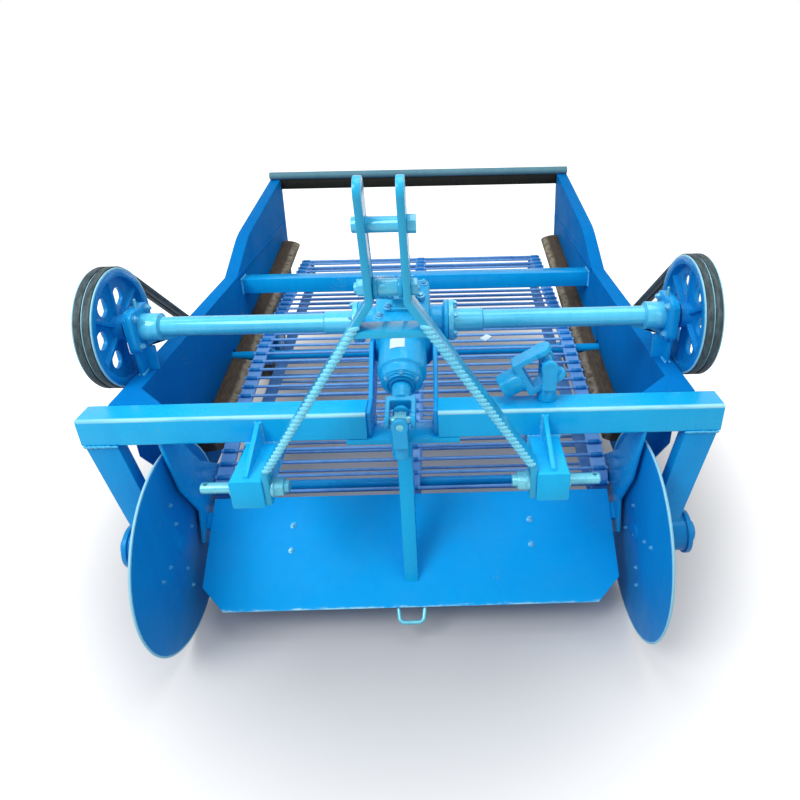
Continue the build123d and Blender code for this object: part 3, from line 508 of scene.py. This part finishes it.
def makeCamera(look):
    data = bpy.data.cameras.new("studioCamera")
    data.lens = look["lens"]
    data.shift_x = look["shiftX"]
    data.shift_y = look["shiftY"]
    camera = bpy.data.objects.new("studioCamera", data)
    scene.collection.objects.link(camera)
    down, turn, roll = (math.radians(look[key]) for key in ("down", "turn", "roll"))
    ahead = Vector((math.sin(turn) * math.cos(down), math.cos(turn) * math.cos(down), -math.sin(down)))
    right = Vector((math.cos(turn), -math.sin(turn), 0))
    up = right.cross(ahead)
    tiltedRight = right * math.cos(roll) + up * math.sin(roll)
    tiltedUp = tiltedRight.cross(ahead)
    turnMatrix = Matrix((tiltedRight, tiltedUp, -ahead)).transposed().to_4x4()
    camera.matrix_world = Matrix.Translation(look["place"]) @ turnMatrix
    scene.camera = camera


makeCamera(cameraLook)

# ---- studio: floor, world and lamps ----
studioLook = {
    "floorColour": (0.50, 0.51, 0.52, 1), "ambient": 0.33,
    "lamps": (("keyLamp", (-2.6, -3.4, 4.4), (0, -0.3, 0.5), 2.6, 195),
              ("fillLamp", (3.2, -3.2, 3.0), (0, -0.2, 0.5), 3.0, 45),
              ("topLamp", (0.3, -0.6, 4.8), (0, 0.0, 0.4), 3.0, 95)),
}


def makeStudio(look):
    clearSelection()
    bpy.ops.mesh.primitive_plane_add(size=80, location=(0, 0, 0))
    floor = bpy.context.object
    floor.name = "studioFloor"
    material, tree, shader = newMaterial("paleFloor")
    shader.inputs["Base Color"].default_value = look["floorColour"]
    shader.inputs["Roughness"].default_value = 0.9
    shader.inputs["Specular IOR Level"].default_value = 0.0
    rays = tree.nodes.new("ShaderNodeLightPath")
    seen = mathNode(tree, "MAXIMUM", rays.outputs["Is Camera Ray"],
                    mathNode(tree, "MAXIMUM", rays.outputs["Is Glossy Ray"],
                             rays.outputs["Is Transmission Ray"]))
    flat = stretched(tree, objectPlace(tree), (1.0, 0.75, 1.0))
    length = tree.nodes.new("ShaderNodeVectorMath")
    length.operation = "LENGTH"
    tree.links.new(flat, length.inputs[0])
    away = rangeNode(tree, length.outputs["Value"], 0.7, 1.8, 0.0, 1.0)
    tree.links.new(mathNode(tree, "MULTIPLY", seen, away), shader.inputs["Emission Strength"])
    shader.inputs["Emission Color"].default_value = (1, 1, 1, 1)
    floor.data.materials.append(material)
    world = bpy.data.worlds.new("studioWorld")
    scene.world = world
    world.use_nodes = True
    tree = world.node_tree
    background = tree.nodes["Background"]
    rays = tree.nodes.new("ShaderNodeLightPath")
    seen = mathNode(tree, "MAXIMUM", rays.outputs["Is Camera Ray"],
                    mathNode(tree, "MAXIMUM", rays.outputs["Is Glossy Ray"],
                             rays.outputs["Is Transmission Ray"]))
    strength = mathNode(tree, "ADD", mathNode(tree, "MULTIPLY", seen, 1.0 - look["ambient"]),
                        look["ambient"])
    background.inputs["Color"].default_value = (1, 1, 1, 1)
    tree.links.new(strength, background.inputs["Strength"])
    for name, spot, target, size, watts in look["lamps"]:
        data = bpy.data.lights.new(name, "AREA")
        data.size = size
        data.energy = watts
        lamp = bpy.data.objects.new(name, data)
        scene.collection.objects.link(lamp)
        lamp.location = spot
        lamp.rotation_euler = (Vector(target) - Vector(spot)).to_track_quat("-Z", "Y").to_euler()


makeStudio(studioLook)
scene.view_settings.view_transform = "Standard"

# ---- plates, bars and round pieces: copies of the CAD shapes with broken edges ----
print("plates")
edgeWork = (
    # nodes, finish, edge width in mm
    (("front_beam_right", "front_beam_left", "beam_notch_plate"), litFrontPaint, 1.2),
    (("hitch_bracket_right", "hitch_bracket_left"), litFrontPaint, 1.5),
    (("mast_brace_right", "mast_brace_left", "mast_saddle", "mast_stay"), tealPaint, 2.0),
    (("gearbox_mounts", "bearing_bracket_right", "bearing_bracket_left", "share_arms", "wheel_brackets"),
     framePaint, 1.5),
    (("upper_crossbar",), framePaint, 2.5),
    (("side_wall_right", "side_wall_left"), shadedWallPaint, 1.2),
    (("share_blade",), sharePaint, 1.6),
    (("share_carrier", "web_bearings"), framePaint, 1.5),
    (("centre_leg",), litFrontPaint, 1.8),
    (("coulter_leg_right", "coulter_leg_left"), legPaint, 1.8),
    (("coulter_disc_right", "coulter_disc_left"), shadedDiscPaint, 0.8),
    (("drive_pulley_right", "drive_pulley_left"), shadedPulleyPaint, 1.2),
    (("driven_pulleys",), shadedDrivenPaint, 1.0),
    (("v_belts_right", "v_belts_left"), beltRubber, 1.5),
    (("top_link_pin", "mast_spacer_bolt"), litTubePaint, 1.5),
    (("lower_hitch_pins", "share_loop"), pinSteel, 0.8),
    (("cross_shaft", "joint_cross"), pinSteel, 1.0),
    (("axle_tube_right", "axle_tube_left"), litTubePaint, 1.5),
    (("rear_tie_bar",), barPaint, 1.5),
    (("rear_curtain",), curtainRubber, 1.0),
    (("seal_strips",), stripRubber, 2.0),
    (("wheel_rim_right", "wheel_rim_left"), framePaint, 1.5),
    (("web_drive_shaft", "web_rollers"), framePaint, 1.0),
)
pieceOf = {}
for names, finish, width in edgeWork:
    for name in names:
        piece = mergedCopy(name)
        roundEdges(piece, width / 1000)
        standIn(piece, name, finish)
        pieceOf[name] = piece

# ---- castings: the CAD shapes with their corners run together ----
print("castings")
castLook = {"gearbox_housing": (0.0032, 8, 1.0), "input_shaft": (0.0020, 4, 0.8),
            "outer_yoke": (0.0020, 4, 0.8),
            "stowed_joint": (0.0022, 5, 0.8)}
for name, (voxel, rounds, strength) in castLook.items():
    piece = mergedCopy(name)
    useModifier(piece, "REMESH", mode="VOXEL", voxel_size=voxel)
    useModifier(piece, "SMOOTH", iterations=rounds, factor=0.5 * strength)
    pick(piece)
    bpy.ops.object.shade_smooth()
    standIn(piece, name, castPaint)
    pieceOf[name] = piece

# ---- the web keeps its CAD rods, and gets clips where the straps hold them ----
print("web")
webNode = nodes["elevator_web"]
for item in webNode.material_slots:
    item.material = webPaint
endPoints = [webNode.matrix_world @ vertex.co for vertex in webNode.data.vertices]
rodPlaces = []
for point in endPoints:
    if point.x < 0.6355:
        continue
    for group in rodPlaces:
        if abs(group[0].y - point.y) < 0.014 and abs(group[0].z - point.z) < 0.014:
            group.append(point)
            break
    else:
        rodPlaces.append([point])
rodCentres = []
for group in rodPlaces:
    ys, zs = [p.y for p in group], [p.z for p in group]
    rodCentres.append(((min(ys) + max(ys)) / 2, (min(zs) + max(zs)) / 2))
clipLook = {"radius": 0.0078, "length": 0.034, "lip": 0.0012, "strapLines": (-0.609, 0.0, 0.609)}
clearSelection()
bpy.ops.mesh.primitive_cylinder_add(vertices=12, radius=clipLook["radius"], depth=clipLook["length"])
clip = added("clipModel")
pickFaces(clip, lambda centre, normal: abs(normal.z) > 0.9)
bpy.ops.mesh.inset(thickness=clipLook["lip"], depth=0.0015, use_individual=True)
bpy.ops.object.mode_set(mode="OBJECT")
clips = scatter(clip, "webRodClips",
                [(Vector((line, y, z)), (1, 0, 0), 1.0) for y,
                 z in rodCentres for line in clipLook["strapLines"]])
smoothBy(clips, 40)
settle(clips, "frame", strapPaint)
bpy.data.objects.remove(clip)
print("rods", len(rodCentres))

# ---- bolts ----
print("bolts")
boltLook = {"flats": 0.020, "height": 0.010, "washer": 0.0155, "washerHeight": 0.003, "stud": 0.004}


def boltModel(look):
    clearSelection()
    bpy.ops.mesh.primitive_cylinder_add(vertices=20, radius=look["washer"], depth=look["washerHeight"],
                                        location=(0, 0, look["washerHeight"] / 2))
    washer = added("washerModel")
    pickFaces(washer, lambda centre, normal: normal.z > 0.9)
    bpy.ops.mesh.inset(thickness=0.0016, depth=0.0006)
    bpy.ops.object.mode_set(mode="OBJECT")
    clearSelection()
    bpy.ops.mesh.primitive_cylinder_add(vertices=6, radius=look["flats"] / 2 / math.cos(math.pi / 6),
                                        depth=look["height"],
                                        location=(0, 0, look["washerHeight"] + look["height"] / 2))
    head = added("boltModel")
    pickFaces(head, lambda centre, normal: normal.z > 0.9)
    bpy.ops.mesh.inset(thickness=0.0026, depth=0.0014)
    bpy.ops.mesh.inset(thickness=0.0022)
    bpy.ops.mesh.extrude_region_move(TRANSFORM_OT_translate={"value": (0, 0, look["stud"])})
    bpy.ops.object.mode_set(mode="OBJECT")
    washer.select_set(True)
    bpy.ops.object.join()
    smoothBy(head, 25)
    return head


def ring(count, centre, axis, radius, first=0.0):
    # spots evenly round an axis
    turn = Vector(axis).to_track_quat("Z", "Y")
    spots = []
    for index in range(count):
        angle = first + 2 * math.pi * index / count
        spots.append(centre + turn @ Vector((radius * math.cos(angle), radius * math.sin(angle), 0)))
    return spots


bolt = boltModel(boltLook)
tilt = math.radians(20.8)
gearAlong = Vector((0, math.cos(tilt), math.sin(tilt)))
gearUp = Vector((0, -math.sin(tilt), math.cos(tilt)))
gearCentre = at(0, 290, 877)


def gearSpot(x, along, up):
    return gearCentre + Vector((x / 1000, 0, 0)) + gearAlong * along / 1000 + gearUp * up / 1000


frameBolts = []
for side in (-1, 1):
    right = Vector((side, 0, 0))
    # neck flanges of the gearbox, seen from the tubes
    frameBolts += [(spot, right, 0.62) for spot in ring(6, at(side * 143, 290, 877), (1, 0, 0), 0.0515,
                                                        0.4)]
    # square end bearings: four bolts on the face towards the middle
    for y in (248, 332):
        for z in (835, 919):
            frameBolts.append((at(side * 752, y, z), -right, 0.75))
    # web bearings
    frameBolts += [(spot, right, 0.7) for spot in ring(3, at(side * 760, 906, 477), (1, 0, 0), 0.043, 0.5)]
    # wheel brackets to the walls
    frameBolts += [(at(side * 760, y, 440), right, 0.9) for y in (1570, 1640, 1710)]
    # share arms to the share's carrier
    frameBolts += [(at(side * 650, y, z), right, 0.8) for y, z in ((215, 262), (262, 292))]
    # flush bolts that hold the share to its arms
    frameBolts += [(at(side * 367, y, z), (0, -0.6, 0.8), 0.6) for y, z in ((126, 267), (66, 222))]
    # hitch bracket to the beam, on its underside
    frameBolts += [(at(side * x, 40, 662), (0, 0, -1), 0.8) for x in (130,)]
# gearbox: cover bolts round the snout's nose, and four in its top cover
frameBolts += [(spot, -gearAlong, 0.5) for spot in ring(6, gearSpot(0, -238, 0),
                                                        (0, -math.cos(tilt), -math.sin(tilt)), 0.046, 0.5)]
frameBolts += [(gearSpot(x, y, 84), gearUp, 0.7) for x in (-60, 60) for y in (-66, 66)]
frameBolts += [(gearSpot(x, y, 94), gearUp, 0.75) for x in (-38, 38) for y in (-42, 42)]
frameBoltPiece = scatter(bolt, "frameBolts", frameBolts)
settle(frameBoltPiece, "frame", boltSteel)

for side, word in ((-1, "left"), (1, "right")):
    rivetSpots = {
        -1: ((12, 452), (14, 383), (93, 305), (-73, 303), (11, 216), (-124, 301), (15, 145)),
        1: ((61, 366), (97, 249), (19, 290), (-60, 338), (-110, 363), (-30, 210), (-53, 164)),
    }[side]
    heads = [(at(side * 664, y, z), (-side, 0, 0), 0.42) for y, z in rivetSpots]
    heads += [(spot, (side, 0, 0), 0.6) for spot in ring(6, at(side * 686, 20, 302), (1, 0, 0), 0.049)]
    settle(scatter(bolt, word + "DiscBolts", heads), word + "_coulter", boltSteel)
    wheelHeads = [(spot, (side, 0, 0), 0.7) for spot in ring(5, at(side * 819, 1640, 200), (1, 0, 0),
                                                             0.072)]
    settle(scatter(bolt, word + "WheelBolts", wheelHeads), word + "_wheel", boltSteel)

# ---- grease nipples ----
nippleLook = {"radius": 0.0042, "height": 0.016}
clearSelection()
bpy.ops.mesh.primitive_cylinder_add(vertices=12, radius=nippleLook["radius"], depth=nippleLook["height"],
                                    location=(0, 0, nippleLook["height"] / 2))
nipple = added("nippleModel")
pickFaces(nipple, lambda centre, normal: normal.z > 0.9)
bpy.ops.mesh.inset(thickness=0.0016)
bpy.ops.mesh.extrude_region_move(TRANSFORM_OT_translate={"value": (0, 0, 0.004)})
bpy.ops.transform.resize(value=(1.35, 1.35, 1))
bpy.ops.mesh.extrude_region_move(TRANSFORM_OT_translate={"value": (0, 0, 0.003)})
bpy.ops.transform.resize(value=(0.6, 0.6, 1))
bpy.ops.object.mode_set(mode="OBJECT")
smoothBy(nipple, 35)
nippleSpots = []
for side in (-1, 1):
    nippleSpots.append((at(side * 759, 290, 936), (0, 0, 1), 1.2))
    nippleSpots.append((at(side * 777, 906, 510), (0, 0, 1), 1.0))
    nippleSpots.append((at(side * 778, 20, 364), (0, -0.3, 1), 1.3))
settle(scatter(nipple, "greaseNipples", nippleSpots), "frame", pinSteel)
bpy.data.objects.remove(nipple)

# ---- weld beads ----
print("welds")
weldLook = {"width": 0.0055, "height": 0.0032, "pitch": 0.0050}
clearSelection()
bpy.ops.mesh.primitive_uv_sphere_add(segments=8, ring_count=5, radius=1.0)
bead = added("beadModel")
bpy.ops.mesh.select_all(action="SELECT")
bpy.ops.transform.resize(value=(weldLook["width"], weldLook["width"], weldLook["height"]))
bpy.ops.object.mode_set(mode="OBJECT")
smoothBy(bead, 60)


def beadLine(start, end, normal, size=1.0):
    span = (end - start).length
    count = max(2, int(span / (weldLook["pitch"] * size)))
    spots = []
    for index in range(count + 1):
        spot = start.lerp(end, index / count)
        jitter = Vector((random.uniform(-1, 1), random.uniform(-1, 1),
                         random.uniform(-1, 1))) * 0.0006 * size
        spots.append((spot + jitter, normal, size * random.uniform(0.9, 1.1)))
    return spots


def beadRing(centre, axis, radius, size=1.0):
    count = int(2 * math.pi * radius / (weldLook["pitch"] * size))
    return [(spot, spot - centre + Vector(axis) * radius * 0.8, size) for spot in ring(count, centre,
                                                                                       axis, radius)]


welds = []
for side in (-1, 1):
    # hitch bracket to the beam and its gusset
    for x in (332.5, 412.5):
        welds += beadLine(at(side * x, -1, 661), at(side * x, -1, 590),
                          (side * (1 if x > 400 else -1), -1, 0))
    welds += beadLine(at(side * 333, -1, 661), at(side * 412, -1, 661), (0, -1, 0.6))
    for x in (366, 379):
        welds += beadLine(at(side * x, -1, 724), at(side * x, -1, 664),
                          (side * (1 if x > 370 else -1), -1, 0))
    # tube collars and gussets
    welds += beadRing(at(side * 225, 290, 877), (side, 0, 0), 0.0290)
    welds += beadRing(at(side * 698, 290, 877), (-side, 0, 0), 0.0295)
    # coulter leg to the beam
    welds += beadLine(at(side * 752, -1, 661), at(side * 834, -1, 661), (0, -1, -0.6))
    # crossbar to the walls
    for z in (654, 718):
        welds += beadLine(at(side * 739, 1150, z), at(side * 739, 1214, z),
                          (-side, 0, 1 if z > 700 else -1))
    welds += beadLine(at(side * 739, 1149, 655), at(side * 739, 1149, 717), (-side, -1, 0))
    # bearing bracket on the wall flange
    welds += beadLine(at(side * 766, 249, 743), at(side * 766, 331, 743), (-side, 0, 1))
    welds += beadLine(at(side * 779, 250, 743), at(side * 779, 330, 743), (side, 0, 1))
    # gearbox mounts on the notch plate and beam
    welds += beadLine(at(side * 81, 81, 663), at(side * 81, 118, 663), (-side, 0, 1))
    # corner gussets under the flange
    welds += beadLine(at(side * 652, 81, 734), at(side * 739, 81, 734), (0, 1, -1))
# centre leg
for x in (-20, 20):
    welds += beadLine(at(x, 24, 645), at(x, 76, 645), (x / 20, 0, -1))
welds += beadLine(at(-20, 23, 645), at(20, 23, 645), (0, -1, -1))
weldPiece = scatter(bead, "weldBeads", welds)
settle(weldPiece, "frame", weldPaint)

# ---- mast braces: a heavy twisted bead runs down the front of each spread bar, its pale colour a painted highlight ----
ropeLook = {"pitch": 0.0125, "size": 2.3, "lean": 0.5, "top": 1052, "foot": 690}
rope = []
spread = math.atan2(324.5 - 40, 1108 - 676)
for side in (-1, 1):
    heading = Vector((side * math.sin(spread), 0, -math.cos(spread)))
    across = Vector((side * math.cos(spread), 0, math.sin(spread)))
    start = at(side * (40 + (1108 - ropeLook["top"]) * math.tan(spread)), -161, ropeLook["top"])
    end = at(side * (40 + (1108 - ropeLook["foot"]) * math.tan(spread)), -161, ropeLook["foot"])
    count = int((end - start).length / ropeLook["pitch"])
    for index in range(count + 1):
        middle = start.lerp(end, index / count)
        for step in (-1.5, -0.5, 0.5, 1.5):
            spot = middle + across * step * 0.0038 + heading * step * 0.0042
            spot.y -= 0.0012 * (2.2 - abs(step))
            rope.append((spot, (side * step * 0.25, -1, 0.1), 1.0 if abs(step) > 1 else 1.25))
ropePiece = scatter(bead, "braceTwistBeads", rope)
settle(ropePiece, "frame", litBeadPaint)
bpy.data.objects.remove(bead)

# ---- a flat bar covers the seam where each raised shield meets the wall ----
seamLook = {"front": 1112, "rear": 2018, "height": 742, "width": 16, "thick": 5, "wallFace": 740, "sunk": 0.3}
seamLength = seamLook["rear"] - seamLook["front"]
clearSelection()
bpy.ops.mesh.primitive_cube_add(size=1)
seam = added("seamBars")
bpy.ops.mesh.select_all(action="SELECT")
bpy.ops.transform.resize(value=(seamLook["thick"] / 1000, seamLength / 1000, seamLook["width"] / 1000))
bpy.ops.mesh.select_all(action="DESELECT")
bpy.ops.object.mode_set(mode="OBJECT")
roundEdges(seam, 0.0015, 2, 30)
seamMiddle = at(seamLook["wallFace"] - seamLook["thick"] / 2 + seamLook["sunk"],
                (seamLook["front"] + seamLook["rear"]) / 2, seamLook["height"])
seam.data.transform(Matrix.Translation(seamMiddle))
otherSeam = seam.copy()
otherSeam.data = seam.data.copy()
otherSeam.name = "seamBarsLeft"
scene.collection.objects.link(otherSeam)
otherSeam.data.transform(Matrix.Translation((-2 * seamMiddle.x, 0, 0)))
for bar in (seam, otherSeam):
    settle(bar, "frame", shadedWallPaint)

# ---- gearbox: nose rings, breather plug and a blank plate ----
print("gearbox")
noseLook = {"radius": 0.050, "depth": 0.006,
            "steps": ((0.007, 0.005), (0.005, -0.004), (0.006, 0.005), (0.005, -0.003))}
clearSelection()
bpy.ops.mesh.primitive_cylinder_add(vertices=48, radius=noseLook["radius"], depth=noseLook["depth"])
nose = added("noseRings")
pickFaces(nose, lambda centre, normal: normal.z > 0.9)
for thickness, rise in noseLook["steps"]:
    bpy.ops.mesh.inset(thickness=thickness)
    bpy.ops.mesh.extrude_region_move(TRANSFORM_OT_translate={"value": (0, 0, rise)})
bpy.ops.object.mode_set(mode="OBJECT")
nose.data.transform(Matrix.Translation(gearSpot(0, -239, 0)) @ turnedTo(-gearAlong))
roundEdges(nose, 0.0009, 2, 30)
settle(nose, "frame", castPaint)

plugLook = {"radius": 0.013, "height": 0.016}
clearSelection()
bpy.ops.mesh.primitive_cylinder_add(vertices=8, radius=plugLook["radius"], depth=plugLook["height"],
                                    location=(0, 0, plugLook["height"] / 2))
plug = added("breatherPlug")
pickFaces(plug, lambda centre, normal: normal.z > 0.9)
bpy.ops.mesh.inset(thickness=0.004)
bpy.ops.mesh.extrude_region_move(TRANSFORM_OT_translate={"value": (0, 0, 0.007)})
bpy.ops.object.mode_set(mode="OBJECT")
plug.data.transform(Matrix.Translation(gearSpot(52, 0, 84)) @ turnedTo(gearUp))
roundEdges(plug, 0.0012, 2, 30)
settle(plug, "frame", boltSteel)

plateLook = {"size": (0.052, 0.036, 1), "thick": 0.0008, "spot": (-14, -150, 80)}
clearSelection()
bpy.ops.mesh.primitive_grid_add(x_subdivisions=14, y_subdivisions=8, size=1)
label = added("blankPlate")
bpy.ops.mesh.select_all(action="SELECT")
bpy.ops.transform.resize(value=plateLook["size"])
bpy.ops.object.mode_set(mode="OBJECT")
turn = Matrix((Vector((1, 0, 0)), gearAlong, gearUp)).transposed().to_4x4()
label.data.transform(Matrix.Translation(gearSpot(*plateLook["spot"])) @ turn)
useModifier(label, "SHRINKWRAP", target=pieceOf["gearbox_housing"], wrap_method="NEAREST_SURFACEPOINT",
            offset=0.0014)
useModifier(label, "SOLIDIFY", thickness=plateLook["thick"], offset=0.0)
roundEdges(label, 0.0003, 1, 50)
settle(label, "frame", plateWhite)

# ---- blank maker's patches on the left pulley and on the web's joiner ----
joinerLook = {"size": (0.042, 0.030, 0.006), "spots": ((284, 904, 533), (-174, 1173, 551))}
clearSelection()
bpy.ops.mesh.primitive_cube_add(size=1)
joiner = added("joinerModel")
bpy.ops.mesh.select_all(action="SELECT")
bpy.ops.transform.resize(value=joinerLook["size"])
pickFaces(joiner, lambda centre, normal: normal.z > 0.9)
bpy.ops.mesh.inset(thickness=0.004, depth=-0.0015)
bpy.ops.object.mode_set(mode="OBJECT")
roundEdges(joiner, 0.0012)
joiners = scatter(joiner, "webJoiners",
                  [(at(x, y, z), (0, -0.12, 1), 1.0) for x, y, z in joinerLook["spots"]])
settle(joiners, "frame", plateWhite)
bpy.data.objects.remove(joiner)

# ---- coulter hubs: finned cap and lock nut on the outer end ----
print("hubs")
capLook = {"radius": 0.031, "depth": 0.012, "fins": 8, "finSize": (0.005, 0.016, 0.014)}
for side, word in ((-1, "left"), (1, "right")):
    clearSelection()
    bpy.ops.mesh.primitive_cylinder_add(vertices=32, radius=capLook["radius"], depth=capLook["depth"])
    cap = added(word + "HubCap")
    pickFaces(cap, lambda centre, normal: normal.z > 0.9)
    bpy.ops.mesh.inset(thickness=0.006, depth=0.006)
    bpy.ops.mesh.inset(thickness=0.008, depth=-0.003)
    bpy.ops.object.mode_set(mode="OBJECT")
    clearSelection()
    bpy.ops.mesh.primitive_cube_add(size=1)
    fin = added("finModel")
    bpy.ops.mesh.select_all(action="SELECT")
    bpy.ops.transform.resize(value=capLook["finSize"])
    bpy.ops.object.mode_set(mode="OBJECT")
    roundEdges(fin, 0.0015)
    fins = []
    for index in range(capLook["fins"]):
        angle = 2 * math.pi * index / capLook["fins"]
        mesh = fin.data.copy()
        mesh.transform(Matrix.Rotation(angle, 4, "Z") @ Matrix.Translation((0, 0.024, 0.008)))
        copy = bpy.data.objects.new("fin", mesh)
        scene.collection.objects.link(copy)
        fins.append(copy)
    bpy.data.objects.remove(fin)
    clearSelection()
    for copy in fins:
        copy.select_set(True)
    cap.select_set(True)
    bpy.context.view_layer.objects.active = cap
    bpy.ops.object.join()
    cap.data.transform(Matrix.Translation(at(side * 812, 20, 302)) @ turnedTo((side, 0, 0)))
    roundEdges(cap, 0.0008, 2, 40)
    settle(cap, "frame", castPaint)

# ---- tyre treads ----
print("tyres")
tyreLook = {"groove": 0.007, "lugs": 26, "lugSize": (0.030, 0.022, 0.009)}
clearSelection()
bpy.ops.mesh.primitive_cube_add(size=1)
lug = added("lugModel")
bpy.ops.mesh.select_all(action="SELECT")
bpy.ops.transform.resize(value=tyreLook["lugSize"])
pickFaces(lug, lambda centre, normal: normal.z > 0.9)
bpy.ops.transform.resize(value=(0.86, 0.72, 1))
bpy.ops.object.mode_set(mode="OBJECT")
roundEdges(lug, 0.0015)
for side, word in ((-1, "left"), (1, "right")):
    name = "wheel_tyre_" + word
    tyre = mergedCopy(name)
    axle = at(side * 815, 1640, 200)
    for vertex in tyre.data.vertices:
        out = Vector((0, vertex.co.y - axle.y, vertex.co.z - axle.z))
        if out.length > 0.190:
            vertex.co -= out.normalized() * tyreLook["groove"]
    roundEdges(tyre, 0.003, 3, 20)
    copies = [tyre]
    for index in range(tyreLook["lugs"]):
        for row in (-1, 1):
            angle = 2 * math.pi * (index + (0.25 if row > 0 else -0.25)) / tyreLook["lugs"]
            mesh = lug.data.copy()
            mesh.transform(Matrix.Translation(axle) @ Matrix.Rotation(angle, 4, "X")
                           @ Matrix.Translation((row * 0.017, 0, 0.1948)) @ Matrix.Rotation(row * 0.5, 4,
                                                                                            "Z"))
            copy = bpy.data.objects.new("lug", mesh)
            scene.collection.objects.link(copy)
            copies.append(copy)
    clearSelection()
    for copy in copies:
        copy.select_set(True)
    bpy.context.view_layer.objects.active = tyre
    bpy.ops.object.join()
    standIn(tyre, name, tyreRubber)
bpy.data.objects.remove(lug)
bpy.data.objects.remove(bolt)
